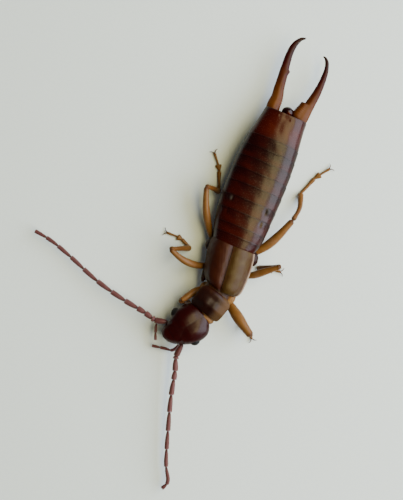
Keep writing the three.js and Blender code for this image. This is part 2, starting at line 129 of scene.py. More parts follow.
@dataclass
class Skin:
    """A closed skin over rows of closed loops, with a pole or a seam at each end.

    points is rows x columns x 3. tone picks a place in a finish's colours and edge marks rims and
    seams, and on some parts painted shade and painted reflections, both for each point. A bent plate
    has no pole: its end loops are zipped shut, each column k with the column pleat - k counted round
    the loop.
    """

    points: Array
    tone: Array | float = 0.5
    edge: Array | float = 0.0
    pleat: int | None = None

    def __post_init__(self) -> None:
        """Spreads single numbers over the grid."""
        self.marked(self.tone, self.edge)

    def marked(self, tone: Array | float, edge: Array | float = 0.0) -> "Skin":
        """Sets both marks, each spread over the grid.

        Args:
            tone: The new tone, for all points, rows or columns.
            edge: The new edge, kept from 0 to 1.

        Returns:
            The same skin.
        """
        grid = self.points.shape[:2]
        self.tone = np.broadcast_to(np.asarray(tone, float), grid).copy()
        self.edge = np.broadcast_to(np.clip(np.asarray(edge, float), 0, 1), grid).copy()
        return self

    def normals(self) -> Array:
        """Works out outward normals: the cross product of the steps along the loops and the rows.

        Returns:
            Unit vectors, rows x columns x 3.
        """
        along = np.gradient(self.points, axis=0)
        around = np.roll(self.points, -1, axis=1) - np.roll(self.points, 1, axis=1)
        normal = np.cross(around, along)
        length = np.linalg.norm(normal, axis=2, keepdims=True)
        normal = normal / np.maximum(length, 1e-12)
        outward = self.points - self.points.mean(axis=1, keepdims=True)
        return normal if (normal * outward).sum() > 0 else -normal

    def push(self, amount: Array) -> "Skin":
        """Moves each point along its normal by its own amount and returns the same skin."""
        self.points = self.points + self.normals() * amount[..., None]
        return self

    def vertices(self) -> Array:
        """Lists the points.

        Returns:
            The grid row by row, then the two poles if there are poles.
        """
        if self.pleat is not None:
            return self.points.reshape(-1, 3)
        poles = np.stack([self.points[0].mean(axis=0), self.points[-1].mean(axis=0)])
        return np.vstack([self.points.reshape(-1, 3), poles])

    def marks(self, grid: Array) -> Array:
        """Lists a mark as vertices() lists the points, the poles taking the mean of their row.

        Args:
            grid: The mark on the grid.

        Returns:
            The mark for each vertex.
        """
        if self.pleat is not None:
            return grid.ravel()
        return np.concatenate([grid.ravel(), [grid[0].mean(), grid[-1].mean()]])

    def faces(self) -> tuple[Array, Array]:
        """Joins the grid with quads and each end with a fan or a zip, all facing out.

        Returns:
            The quads and the triangles, as vertex numbers.
        """
        rows, columns = self.points.shape[:2]
        index = np.arange(rows * columns).reshape(rows, columns)
        after = np.roll(index, -1, axis=1)
        quads = np.stack([index[:-1], after[:-1], after[1:], index[1:]], axis=-1).reshape(-1, 4)
        if self.pleat is None:
            first, last = rows * columns, rows * columns + 1
            near = np.stack([after[0], index[0], np.full(columns, first)], axis=-1)
            far = np.stack([index[-1], after[-1], np.full(columns, last)], axis=-1)
        else:
            near = self.zipped(index[0])[:, ::-1]
            far = self.zipped(index[-1])
        fans = np.vstack([near, far])
        v = self.vertices()
        a, b, c, d = (v[quads[:, k]] for k in range(4))
        volume = np.einsum("ij,ij->", a, np.cross(b, c)) + np.einsum("ij,ij->", a, np.cross(c, d))
        if volume < 0:
            quads, fans = quads[:, ::-1], fans[:, ::-1]
        return quads, fans

    def zipped(self, ring: Array) -> Array:
        """Closes one loop of vertices by joining each column with its partner across the plate.

        Args:
            ring: The loop's vertex numbers.

        Returns:
            Triangles, without those that have a corner twice.
        """
        here = np.arange(len(ring) // 2)
        partner = (self.pleat - np.arange(len(ring) // 2 + 1)) % len(ring)
        a, b, c, d = ring[here], ring[here + 1], ring[partner[1:]], ring[partner[:-1]]
        triangles = np.vstack([np.stack([a, b, c], axis=-1), np.stack([a, c, d], axis=-1)])
        twice = (triangles == np.roll(triangles, 1, axis=1)).any(axis=1)
        return triangles[~twice]


def loop(columns: int, power: float = 1.0) -> tuple[Array, Array]:
    """A closed loop of unit size: cosine and sine of the angle, each raised to a power with its sign.

    Args:
        columns: Points round the loop.
        power: 1 for a circle, less for a squarer loop.

    Returns:
        The loop's places across and up.
    """
    angle = np.linspace(0.0, 2 * math.pi, columns, endpoint=False)
    across, upward = np.cos(angle), np.sin(angle)
    return np.sign(across) * np.abs(across) ** power, np.sign(upward) * np.abs(upward) ** power


def loft(
    centre: Array,
    side: Array,
    up: Array,
    half: Array,
    top: Array,
    bottom: Array,
    columns: int,
    power: float = 1.0,
) -> Array:
    """Carries a loop along a row of centres: centre + side * half * across + up * (top or bottom) * upward.

    Args:
        centre: Rows x 3, the middle of each loop.
        side: One unit vector across, or one for each row.
        up: One unit vector upward, or one for each row.
        half: Half width of each row.
        top: Height of each row above its centre.
        bottom: Depth of each row below its centre.
        columns: Points round the loop.
        power: 1 for round loops, less for squarer ones.

    Returns:
        Points, rows x columns x 3.
    """
    side, up = (np.broadcast_to(vector, centre.shape) for vector in (side, up))
    across, upward = loop(columns, power)
    high = np.where(upward > 0, np.asarray(top)[:, None], np.asarray(bottom)[:, None]) * upward
    wide = np.asarray(half)[:, None] * across
    return centre[:, None] + side[:, None] * wide[..., None] + up[:, None] * high[..., None]


@dataclass
class Spine:
    """A smooth line through a few points, walked by shares of its length."""

    points: Sequence[Point | Array]

    def walk(self, share: Array) -> tuple[Array, Array, Array, Array]:
        """Reads the line and its directions.

        Side is the cross product of the way ahead and the vertical, and up is square to both.

        Args:
            share: Places along the line, 0 to 1.

        Returns:
            Places, unit vectors ahead, to the right, and up.
        """
        knots = np.asarray(self.points, float)
        length = np.concatenate([[0.0], np.cumsum(np.linalg.norm(np.diff(knots, axis=0), axis=1))])
        fine = through(length, knots, np.linspace(0.0, length[-1], 600))
        run = np.concatenate([[0.0], np.cumsum(np.linalg.norm(np.diff(fine, axis=0), axis=1))])
        ahead = np.gradient(fine, axis=0)
        ahead /= np.linalg.norm(ahead, axis=1, keepdims=True)
        target = np.clip(share, 0.0, 1.0) * run[-1]
        place = np.stack([np.interp(target, run, fine[:, k]) for k in range(3)], axis=1)
        way = np.stack([np.interp(target, run, ahead[:, k]) for k in range(3)], axis=1)
        way /= np.linalg.norm(way, axis=1, keepdims=True)
        side = np.cross(way, UP)
        side /= np.maximum(np.linalg.norm(side, axis=1, keepdims=True), 1e-9)
        return place, way, side, np.cross(side, way)

    def tube(self, share: Array, half: Array, high: Array, columns: int, power: float = 1.0) -> Skin:
        """A rod along the line with a half width and a half height at each share."""
        place, _, side, up = self.walk(share)
        return Skin(loft(place, side, up, half, high, high, columns, power))


def turned(angle: float) -> tuple[Array, Array]:
    """Ahead and left of a part whose heading is turned from -Y by an angle about the vertical."""
    sine, cosine = math.sin(angle), math.cos(angle)
    return np.array([sine, -cosine, 0.0]), np.array([cosine, sine, 0.0])


def egg(centre: Point, radii: Point, turn: float = 0.0, rows: int = 40, columns: int = 48) -> Skin:
    """An egg-shaped lump: a sphere with its own radii, lofted along its own right-to-left axis.

    Args:
        centre: The middle.
        radii: Half its size to the left, ahead and up.
        turn: Its heading about the vertical.
        rows: Loops from side to side.
        columns: Points round a loop.

    Returns:
        The lump's skin.
    """
    ahead, left = turned(turn)
    angle = np.linspace(0.004, math.pi - 0.004, rows)
    centres = np.asarray(centre) - np.cos(angle)[:, None] * left * radii[0]
    ring = np.sin(angle)
    return Skin(loft(centres, ahead, UP, radii[1] * ring, radii[2] * ring, radii[2] * ring, columns))


def grain(points: Array, size: float, seed: int) -> Array:
    """Soft seeded unevenness: the mean of five sine waves across random directions.

    Args:
        points: Any grid of places.
        size: Rough length of a wave.
        seed: Chooses the directions.

    Returns:
        Numbers between -1 and 1 for each place.
    """
    draw = np.random.default_rng(seed)
    way = draw.normal(size=(5, 3))
    way /= np.linalg.norm(way, axis=1, keepdims=True)
    pitch = 2 * math.pi / (size * draw.uniform(0.6, 1.6, 5))
    phase = draw.uniform(0.0, 2 * math.pi, 5)
    return np.sin(np.einsum("...k,nk->...n", points, way) * pitch + phase).mean(axis=-1)


@dataclass
class Bristle:
    """Short stiff hairs rooted on a skin, each a thin three-sided spike that leans along the limb.

    sunk is how deep a root sits in the skin, and clearance how far a tip stays above the floor.
    """

    count: int
    length: float
    root: float
    lean: float
    seed: int
    sunk: float = 0.02
    clearance: float = 0.004

    def grow(self, skin: Skin) -> tuple[Array, Array]:
        """Roots the hairs at seeded places of the grid.

        Args:
            skin: What they grow on.

        Returns:
            Vertices and triangles.
        """
        draw = np.random.default_rng(self.seed)
        rows, columns = skin.points.shape[:2]
        r = draw.integers(2, rows - 2, self.count)
        c = draw.integers(0, columns, self.count)
        root = skin.points[r, c]
        out = skin.normals()[r, c]
        along = skin.points[np.minimum(r + 1, rows - 1)].mean(axis=1) - skin.points[r - 1].mean(axis=1)
        along /= np.maximum(np.linalg.norm(along, axis=1, keepdims=True), 1e-9)
        way = out + along * self.lean + draw.normal(scale=0.18, size=out.shape)
        way /= np.linalg.norm(way, axis=1, keepdims=True)
        size = self.length * draw.uniform(0.55, 1.15, (self.count, 1))
        first = np.cross(way, UP + 0.01)
        first /= np.linalg.norm(first, axis=1, keepdims=True)
        second = np.cross(way, first)
        base = root - way * self.sunk
        tip = root + way * size
        tip[:, 2] = np.maximum(tip[:, 2], self.clearance)
        corners = []
        for angle in (0.0, 2.094, 4.189):
            corners.append(base + (first * math.cos(angle) + second * math.sin(angle)) * self.root)
        vertices = np.stack([*corners, tip], axis=1).reshape(-1, 3)
        start = np.arange(self.count)[:, None] * 4
        sides = ((0, 1, 3), (1, 2, 3), (2, 0, 3), (2, 1, 0))
        triangles = np.concatenate([start + np.array(side) for side in sides])
        return vertices, triangles


@dataclass
class Piece:
    """One named object made of skins and hairs, with its finish and the nodes it stands for."""

    name: str
    skins: list[Skin]
    finish: "Finish"
    stands_for: list[str]
    slot: str
    bristles: list[tuple[Bristle, int]] = field(default_factory=list)

    def build(self) -> bpy.types.Object:
        """Joins the skins into one mesh in metres and hands it to the frame.

        Returns:
            The new object.
        """
        vertices, quads, triangles, tone, edge = [], [], [], [], []
        start = 0
        for skin in self.skins:
            more = skin.vertices()
            four, three = skin.faces()
            vertices.append(more)
            quads.append(four + start)
            triangles.append(three + start)
            tone.append(skin.marks(skin.tone))
            edge.append(skin.marks(skin.edge))
            start += len(more)
        for bristle, number in self.bristles:
            more, three = bristle.grow(self.skins[number])
            vertices.append(more)
            triangles.append(three + start)
            tone.append(np.full(len(more), HAIR_TONE))
            edge.append(np.zeros(len(more)))
            start += len(more)
        mesh = self.fill(np.vstack(vertices), np.vstack(quads), np.vstack(triangles))
        for word, grid in (("tone", tone), ("edge", edge)):
            values = np.concatenate(grid).astype(np.float32)
            mesh.attributes.new(word, "FLOAT", "POINT").data.foreach_set("value", values)
        mesh.materials.append(self.finish.material())
        piece = bpy.data.objects.new(self.name, mesh)
        bpy.context.scene.collection.objects.link(piece)
        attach(piece, "root")
        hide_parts(*self.stands_for)
        log.info("%s: %d faces for %s", self.name, len(mesh.polygons), ", ".join(self.stands_for))
        return piece

    def fill(self, vertices: Array, quads: Array, triangles: Array) -> bpy.types.Mesh:
        """Puts whole arrays into a new mesh.

        Args:
            vertices: Places in millimetres in the animal's frame.
            quads: Four vertex numbers a face.
            triangles: Three vertex numbers a face.

        Returns:
            The mesh, in metres in the row frame, shaded smooth.
        """
        mesh = bpy.data.meshes.new(self.name)
        mesh.vertices.add(len(vertices))
        mesh.vertices.foreach_set("co", ((vertices - ORIGIN) * MM).astype(np.float32).ravel())
        corners = np.concatenate([quads.ravel(), triangles.ravel()]).astype(np.int32)
        sizes = np.concatenate([np.full(len(quads), 4), np.full(len(triangles), 3)])
        starts = np.concatenate([[0], np.cumsum(sizes)[:-1]]).astype(np.int32)
        mesh.loops.add(len(corners))
        mesh.loops.foreach_set("vertex_index", corners)
        mesh.polygons.add(len(sizes))
        mesh.polygons.foreach_set("loop_start", starts)
        mesh.polygons.foreach_set("use_smooth", np.ones(len(sizes), dtype=bool))
        mesh.update(calc_edges=True)
        mesh.validate()
        return mesh


@dataclass
class Wire:
    """A socket of a material. Arithmetic on it adds Math nodes."""

    shader: "Shader"
    socket: bpy.types.NodeSocket

    def math(self, operation: str, first: "Wire | float", second: "Wire | float" = 0.0) -> "Wire":
        """Adds one Math node and returns its value."""
        return self.shader.node("ShaderNodeMath", {"operation": operation}, {0: first, 1: second})

    def __add__(self, other: "Wire | float") -> "Wire":
        """This plus the other."""
        return self.math("ADD", self, other)

    __radd__ = __add__

    def __mul__(self, other: "Wire | float") -> "Wire":
        """This times the other."""
        return self.math("MULTIPLY", self, other)

    __rmul__ = __mul__

    def __sub__(self, other: "Wire | float") -> "Wire":
        """This less the other."""
        return self.math("SUBTRACT", self, other)

    def __rsub__(self, other: "Wire | float") -> "Wire":
        """The other less this."""
        return self.math("SUBTRACT", other, self)

    def __pow__(self, other: float) -> "Wire":
        """This to a power."""
        return self.math("POWER", self, other)

    def between(self, low: float, high: float) -> "Wire":
        """0 below low, 1 above high, and a straight run between them."""
        spread = {"From Min": low, "From Max": high, "To Min": 0.0, "To Max": 1.0}
        return self.shader.node("ShaderNodeMapRange", {"clamp": True}, {"Value": self, **spread}, "Result")


class Shader:
    """Builds one material's nodes."""

    def __init__(self, name: str) -> None:
        """Starts an empty node tree.

        Args:
            name: The material's name.
        """
        self.made = bpy.data.materials.new(name)
        self.made.use_nodes = True
        self.tree = self.made.node_tree
        self.tree.nodes.clear()

    def node(
        self,
        kind: str,
        settings: dict | None = None,
        inputs: dict | None = None,
        output: str | int = 0,
    ) -> Wire:
        """Adds a node, sets it up and joins its sockets.

        Args:
            kind: The node's type.
            settings: Its own properties, or stops for a ramp, set first.
            inputs: Values or wires by socket name or number.
            output: Which output to return.

        Returns:
            A wire from that output.
        """
        made = self.tree.nodes.new(kind)
        for key, value in (settings or {}).items():
            if key == "stops":
                self.ramp(made.color_ramp, value)
            else:
                setattr(made, key, value)
        for key, value in (inputs or {}).items():
            if isinstance(value, Wire):
                self.tree.links.new(value.socket, made.inputs[key])
            else:
                made.inputs[key].default_value = value
        return Wire(self, made.outputs[output] if made.outputs else None)

    def ramp(self, ramp: bpy.types.ColorRamp, stops: list[tuple[float, Colour]]) -> None:
        """Gives a ramp its stops.

        Args:
            ramp: A new ramp, which starts with two stops.
            stops: Two or more places and colours.
        """
        for place, _ in stops[2:]:
            ramp.elements.new(place)
        for element, (place, colour) in zip(ramp.elements, stops):
            element.position = place
            element.color = (*colour, 1.0)

    def attribute(self, name: str) -> Wire:
        """A mark of the mesh."""
        return self.node("ShaderNodeAttribute", {"attribute_name": name}, None, "Fac")

    def place(self) -> Wire:
        """Object coordinates in millimetres."""
        where = self.node("ShaderNodeTexCoord", None, None, "Object")
        return self.node("ShaderNodeMapping", None, {"Vector": where, "Scale": (1 / MM,) * 3}, "Vector")

    def noise(self, where: Wire, waves: float, detail: float = 3.0, rough: float = 0.55) -> Wire:
        """Clouded noise with that many waves a millimetre."""
        inputs = {"Vector": where, "Scale": waves, "Detail": detail, "Roughness": rough}
        return self.node("ShaderNodeTexNoise", None, inputs, 0)

    def cells(self, where: Wire, waves: float) -> Wire:
        """Distance to the nearest of scattered points, that many a millimetre."""
        inputs = {"Vector": where, "Scale": waves}
        return self.node("ShaderNodeTexVoronoi", {"feature": "F1"}, inputs, "Distance")

    def blend(self, share: Wire, first: "Wire | Colour", second: "Wire | Colour") -> Wire:
        """Mixes two colours.

        Args:
            share: Share of the second, 0 to 1.
            first: A wire or a colour.
            second: A wire or a colour.

        Returns:
            The mixed colour.
        """
        full = [v if isinstance(v, Wire) else (*v, 1.0) for v in (first, second)]
        settings = {"data_type": "RGBA", "blend_type": "MIX", "clamp_factor": True}
        return self.node("ShaderNodeMix", settings, {0: share, 6: full[0], 7: full[1]}, 2)

    def bump(self, height: Wire, depth: float, strength: float = 1.0, normal: Wire | None = None) -> Wire:
        """Turns a height into a slope of the surface.

        Args:
            height: 0 to 1.
            depth: Millimetres that a height of 1 stands for.
            strength: Share of the slope that shows.
            normal: The slope under this one.

        Returns:
            The sloped normal.
        """
        inputs = {"Height": height, "Distance": depth * MM, "Strength": strength}
        if normal is not None:
            inputs["Normal"] = normal
        return self.node("ShaderNodeBump", None, inputs, "Normal")

    def surface(self, inputs: dict) -> bpy.types.Material:
        """Ends the tree with a Principled surface.

        Args:
            inputs: Its values and wires by socket name.

        Returns:
            The finished material.
        """
        shader = self.node("ShaderNodeBsdfPrincipled", None, inputs, "BSDF")
        self.node("ShaderNodeOutputMaterial", None, {"Surface": shader})
        return self.made


@dataclass(frozen=True)
class Finish:
    """Horn: a polished shell with a clouded colour, pricked pits and a clear coat.

    stops are the colours along tone and rim is the colour where edge is 1. pits is how many lie in a
    millimetre and pit_depth their depth in millimetres. mottle is how far the clouds shift the tone.
    """

    name: str
    stops: tuple[tuple[float, Colour], ...]
    rim: Colour
    roughness: float = 0.3
    coat: float = 0.05
    coat_roughness: float = 0.15
    specular: float = 0.2
    pits: float = 9.0
    pit_depth: float = 0.006
    mottle: float = 0.12
    sheen: float = 0.0
    subsurface: float = 0.0

    def material(self) -> bpy.types.Material:
        """Makes the material once and returns it each time."""
        known = bpy.data.materials.get(self.name)
        return known if known else self.nodes(Shader(self.name))

    def nodes(self, shader: Shader) -> bpy.types.Material:
        """Colour from tone plus clouds, rims, painted shade and painted reflections from edge, pits and
        fine grain as bump.

        Args:
            shader: The empty tree.

        Returns:
            The finished material.
        """
        where = shader.place()
        clouds = shader.noise(where, 1.6, 4.0)
        fine = shader.noise(where, 24.0, 4.0, 0.65)
        tone = shader.attribute("tone") + (clouds - 0.5) * self.mottle * 2.0 + (fine - 0.5) * self.mottle
        colour = shader.node("ShaderNodeValToRGB", {"stops": list(self.stops)}, {"Fac": tone}, "Color")
        edge = shader.attribute("edge")
        colour = shader.blend(edge * (0.75 + 0.25 * clouds), colour, self.rim)
        prick = shader.cells(where, self.pits).between(0.0, 0.32)
        rough = self.roughness + (1 - prick) * 0.16 + (fine - 0.5) * 0.12 + edge * 0.35
        slope = shader.bump(prick, self.pit_depth, 0.7)
        slope = shader.bump(fine, self.pit_depth * 0.5, 0.5, slope)
        slope = shader.bump(clouds, self.pit_depth * 3.0, 0.4, slope)
        return shader.surface(
            {
                "Base Color": colour,
                "Roughness": rough,
                "Specular IOR Level": self.specular,
                "Normal": slope,
                "Coat Weight": self.coat,
                "Coat Roughness": self.coat_roughness,
                "Sheen Weight": self.sheen,
                "Subsurface Weight": self.subsurface,
                "Subsurface Scale": SCATTER * MM,
            }
        )


@dataclass(frozen=True)
class FacetFinish(Finish):
    """An eye: black horn beaded with close facets."""

    facets: float = 26.0

    def nodes(self, shader: Shader) -> bpy.types.Material:
        """Facets are the cells of scattered points, each a small dome.

        Args:
            shader: The empty tree.

        Returns:
            The finished material.
        """
        where = shader.place()
        facet = shader.cells(where, self.facets)
        clouds = shader.noise(where, 3.0)
        colour = shader.blend(clouds, self.stops[0][1], self.stops[-1][1])
        colour = shader.blend(facet.between(0.35, 0.7), colour, self.rim)
        slope = shader.bump(1 - facet, 0.018, 0.9)
        return shader.surface(
            {
                "Base Color": colour,
                "Roughness": self.roughness + facet * 0.2,
                "Specular IOR Level": self.specular,
                "Normal": slope,
                "Coat Weight": self.coat,
            }
        )


@dataclass(frozen=True)
class SoftFinish(Finish):
    """Dull skin or down: wrinkled or hairy, with a sheen."""

    wrinkles: float = 9.0

    def nodes(self, shader: Shader) -> bpy.types.Material:
        """Colour from tone plus clouds, wrinkles as stretched noise in the bump.

        Args:
            shader: The empty tree.

        Returns:
            The finished material.
        """
        where = shader.place()
        clouds = shader.noise(where, 2.4, 4.0)
        fibre = shader.noise(where, self.wrinkles * 3.0, 3.0, 0.7)
        fold = shader.noise(where, self.wrinkles, 2.0)
        tone = shader.attribute("tone") + (clouds - 0.5) * self.mottle * 2.0 + (fibre - 0.5) * self.mottle
        colour = shader.node("ShaderNodeValToRGB", {"stops": list(self.stops)}, {"Fac": tone}, "Color")
        colour = shader.blend(shader.attribute("edge"), colour, self.rim)
        slope = shader.bump(fold, self.pit_depth * 3.0, 0.8)
        slope = shader.bump(fibre, self.pit_depth, 0.8, slope)
        return shader.surface(
            {
                "Base Color": colour,
                "Roughness": self.roughness + (fibre - 0.5) * 0.2,
                "Specular IOR Level": self.specular,
                "Normal": slope,
                "Coat Weight": self.coat,
                "Sheen Weight": self.sheen,
                "Subsurface Weight": self.subsurface,
                "Subsurface Scale": SCATTER * MM,
            }
        )


def rgb(red: int, green: int, blue: int) -> Colour:
    """A screen colour of 0 to 255 as linear light: the power 2.2 of its share."""
    return tuple((v / 255) ** 2.2 for v in (red, green, blue))


class Finishes(Enum):
    """The finishes of the animal."""

    HEAD = Finish(
        "dark_polished_horn",
        ((0.0, rgb(15, 2, 2)), (0.45, rgb(43, 5, 4)), (0.8, rgb(68, 14, 6)), (1.0, rgb(105, 34, 13))),
        rgb(16, 3, 3),
        roughness=0.33,
        pits=7.0,
        pit_depth=0.003,
    )
    ABDOMEN = Finish(
        "banded_polished_horn",
        ((0.0, rgb(7, 1, 1)), (0.4, rgb(33, 5, 2)), (0.7, rgb(60, 17, 5)), (1.0, rgb(92, 39, 11))),
        # rim: the near-black hind edges of the tergites, and painted shade along the flanks and at the
        # gland folds.
        rgb(9, 1, 2),
        roughness=0.25,
        specular=0.24,
        pits=11.0,
        pit_depth=0.005,
    )
    THORAX = Finish(
        "brown_rimmed_horn",
        ((0.0, rgb(14, 6, 3)), (0.4, rgb(40, 15, 5)), (0.75, rgb(85, 56, 25)), (1.0, rgb(130, 109, 60))),
        # rim: the shield's pale rims, and over its left third also a painted reflection of the lamps.
        rgb(98, 72, 42),
        roughness=0.46,
        pits=8.0,
    )
    WING_CASE = Finish(
        "satin_wing_case",
        # The olive upper stops serve the left wing case's lighter tone, a painted reflection of the lamps.
        ((0.0, rgb(20, 6, 3)), (0.4, rgb(56, 24, 9)), (0.7, rgb(68, 52, 25)), (1.0, rgb(96, 76, 44))),
        # rim: a painted reflection along the left wing case's outer rim.
        rgb(186, 160, 140),
        roughness=0.5,
        specular=0.18,
        pits=6.5,
        pit_depth=0.006,
        mottle=0.14,
    )
    FORCEPS = Finish(
        "amber_to_dark_horn",
        ((0.0, rgb(33, 1, 7)), (0.35, rgb(54, 9, 11)), (0.7, rgb(80, 42, 15)), (1.0, rgb(104, 64, 30))),
        # rim: painted shade on the inner side behind the end of the inner lobe.
        rgb(31, 8, 6),
        roughness=0.38,
        specular=0.14,
        pits=10.0,
        pit_depth=0.003,
        subsurface=0.05,
    )
    LEG = Finish(
        "amber_leg_horn",
        ((0.0, rgb(47, 20, 9)), (0.4, rgb(86, 52, 20)), (0.75, rgb(116, 80, 42)), (1.0, rgb(144, 113, 92))),
        rgb(50, 23, 15),
        roughness=0.38,
        pits=12.0,
        pit_depth=0.003,
        mottle=0.14,
        subsurface=0.08,
    )
    FEELER = SoftFinish(
        "downy_feeler",
        (
            (0.0, rgb(40, 10, 11)),
            (0.4, rgb(79, 39, 38)),
            (0.75, rgb(100, 64, 65)),
            (1.0, rgb(139, 115, 127)),
        ),
        rgb(50, 17, 16),
        roughness=0.5,
        mottle=0.12,
        sheen=0.12,
        pit_depth=0.004,
        wrinkles=16.0,
    )
    MEMBRANE = SoftFinish(
        "wrinkled_skin",
        ((0.0, rgb(41, 19, 8)), (0.4, rgb(83, 51, 23)), (0.75, rgb(124, 89, 48)), (1.0, rgb(166, 137, 87))),
        rgb(63, 32, 13),
        roughness=0.48,
        mottle=0.2,
        pit_depth=0.01,
        wrinkles=8.0,
        subsurface=0.1,
    )
    EYE = FacetFinish(
        "beaded_eye",
        ((0.0, rgb(8, 6, 8)), (1.0, rgb(26, 18, 20))),
        rgb(4, 3, 4),
        roughness=0.4,
        coat=0.1,
    )


@dataclass
class Abdomen:
    """The abdomen: overlapping tergites above, sternites below, and the square last tergite.

    level, top and bottom are the height of its middle and the reach above and below it. step is how far
    a hind edge stands over the next tergite. edges are the Y of the hind edges. middle is the X about
    which the gland folds lie and last_middle that of the last tergite's forms; folds are the gland
    folds' Y and height. outline holds Y, middle X and half width.
    """

    front: float = -1.35
    level: float = 1.12
    top: float = 0.84
    bottom: float = 0.68
    step: float = 0.02
    columns: int = 220
    power: float = 0.86
    middle: float = -0.1
    last_middle: float = -0.16
    folds: tuple[Pair, ...] = ((0.66, 0.025), (1.42, 0.04))
    edges: tuple[float, ...] = (-0.42, 0.1, 0.85, 1.6, 2.4, 3.15, 3.85, 4.5, 5.15, 6.76)
    outline: tuple[Point, ...] = (
        (-1.35, 0.0, 1.12),
        (-1.0, 0.0, 1.2),
        (-0.72, 0.0, 1.29),
        (0.0, -0.04, 1.46),
        (1.0, -0.12, 1.575),
        (2.5, -0.165, 1.63),
        (4.0, -0.19, 1.6),
        (5.0, -0.19, 1.51),
        (6.0, -0.165, 1.335),
        (6.76, -0.13, 1.21),
    )

    def rows(self) -> tuple[Array, Array]:
        """Places the rows: close together at each hind edge, with two rows at the edge itself.

        Returns:
            The rows' Y and each row's share of its tergite, 0 in front and 1 at the hind edge.
        """
        front = [0.0, 0.01, 0.04]
        rear = [0.91, 0.95, 0.975, 0.99, 1.0]
        share = np.concatenate([front, np.linspace(0.09, 0.86, 20), rear])
        starts = np.array((self.front,) + self.edges[:-1])
        y = starts[:, None] + (np.array(self.edges) - starts)[:, None] * share[None]
        y[:, 0] += 0.002
        return y.ravel(), np.tile(share, len(self.edges))

    def skin(self) -> Skin:
        """Works out the skin: an oval of the outline's width, let in by a sawtooth at each tergite.

        The oval's rows bow back at the middle of the back. Below, the sawtooth runs a third of a
        tergite later, and the upper plates stand over the lower ones along both sides.

        Returns:
            The skin with its tones.
        """
        y, share = self.rows()
        table = np.array(self.outline)
        x = through(table[:, 0], table[:, 1], y)
        half = through(table[:, 0], table[:, 2], y)
        high = np.minimum(1.0, 0.86 + 0.14 * (y + 1.0)) * np.where(y > 5, 1 - 0.09 * (y - 5), 1.0)
        _, upward = loop(self.columns, self.power)
        back = step_up(upward, -0.5, -0.2)[None]
        tooth = self.step * (1 - share) ** 0.8
        lip = 0.006 * bell(share - 0.95, 0.04)
        inset = (tooth - lip)[:, None] * (0.55 + 0.45 * back) + 0.02 * (1 - back)
        centre = np.stack([x, y, np.full_like(y, self.level)], axis=1)
        left = np.array([1.0, 0.0, 0.0])
        points = loft(centre, left, UP, half, self.top * high, self.bottom * high, self.columns, self.power)
        middle = centre[:, None]
        radius = np.linalg.norm(points - middle, axis=2, keepdims=True)
        points = middle + (points - middle) * (1 - inset[..., None] / np.maximum(radius, 0.1))
        body = step_up(y, -0.9, 0.0) * (1 - step_up(y, 6.3, 6.7))
        bow = 0.05 * np.clip(upward, 0, 1) ** 2 - 0.1 * (1 - np.abs(upward)) ** 3
        points[..., 1] += body[:, None] * bow
        points[..., 1] += body[:, None] * 0.22 * (1 - back)
        skin = Skin(points)
        self.sculpt(skin, upward)
        self.colour(skin, y, share, upward)
        return self.close(skin)

    def sculpt(self, skin: Skin, upward: Array) -> None:
        """Raises the gland folds, dents the flanks and works the last tergite.

        Each form is a bell curve round its own place on the back.

        Args:
            skin: The skin to move.
            upward: The loop's place up.
        """
        x, y = skin.points[..., 0], skin.points[..., 1]
        above = step_up(upward, 0.1, 0.3)[None]
        amount = np.zeros_like(x)
        for at_y, size in self.folds:
            for sign in (-1, 1):
                fold = bell(x - self.middle - sign * 1.16, 0.13) * bell(y - at_y, 0.17) * above
                dent = size * 0.9 * bell(x - self.middle - sign * 0.98, 0.07)
                amount += size * fold - dent * bell(y - at_y, 0.15) * above
        beside = x - self.last_middle
        last = step_up(y, 5.2, 5.5) * above
        amount -= 0.006 * bell(beside, 0.14) * last * step_up(y, 5.5, 6.1)
        amount -= 0.012 * bell(beside, 0.34) * bell(y - 6.62, 0.22) * above
        for sign in (-1, 1):
            amount += 0.012 * bell(beside - sign * 0.62, 0.22) * bell(y - 6.5, 0.2) * above
            amount += 0.022 * bell(beside - sign * 0.38, 0.05) * bell(y - 6.53, 0.05) * above
        amount += 0.006 * grain(skin.points, 0.7, 3) + 0.0025 * grain(skin.points, 0.16, 4)
        skin.push(amount)

    def colour(self, skin: Skin, y: Array, share: Array, upward: Array) -> None:
        """Marks it: browner in front, darkest halfway and redder on the last tergite, with painted shade
        along the flanks and at the gland folds.

        Args:
            skin: The skin to mark.
            y: Each row's place.
            share: Each row's share of its tergite.
            upward: The loop's place up.
        """
        length = through([-1.0, 0.0, 1.5, 3.5, 5.0, 5.4, 6.8], [0.5, 0.5, 0.46, 0.42, 0.42, 0.56, 0.64], y)
        band = 0.1 * bell(share - 0.25, 0.3) - 0.07 * bell(share - 0.98, 0.12)
        below = 1 - step_up(upward, -0.35, -0.15)
        tone = (length + band)[:, None] + 0.16 * below[None] + 0.05 * grain(skin.points, 0.5, 9)
        rim = np.maximum(0.12 * bell(share - 1.0, 0.05), 0.12 * bell(share, 0.03))
        # Painted shade: both flanks are turned towards the near-black rim colour.
        flank = 0.8 * bell(upward + 0.05, 0.42)[None]
        rim = np.maximum(rim[:, None], flank)
        # Painted shade in the hollows at the gland folds, also carried by edge.
        x, along = skin.points[..., 0] - self.middle, bell(skin.points[..., 1] - 1.45, 0.2)
        folds = sum(bell(x - sign * 1.08, 0.16) * along for sign in (-1, 1))
        skin.marked(tone, np.maximum(rim, 0.9 * folds * step_up(upward, 0.1, 0.3)))

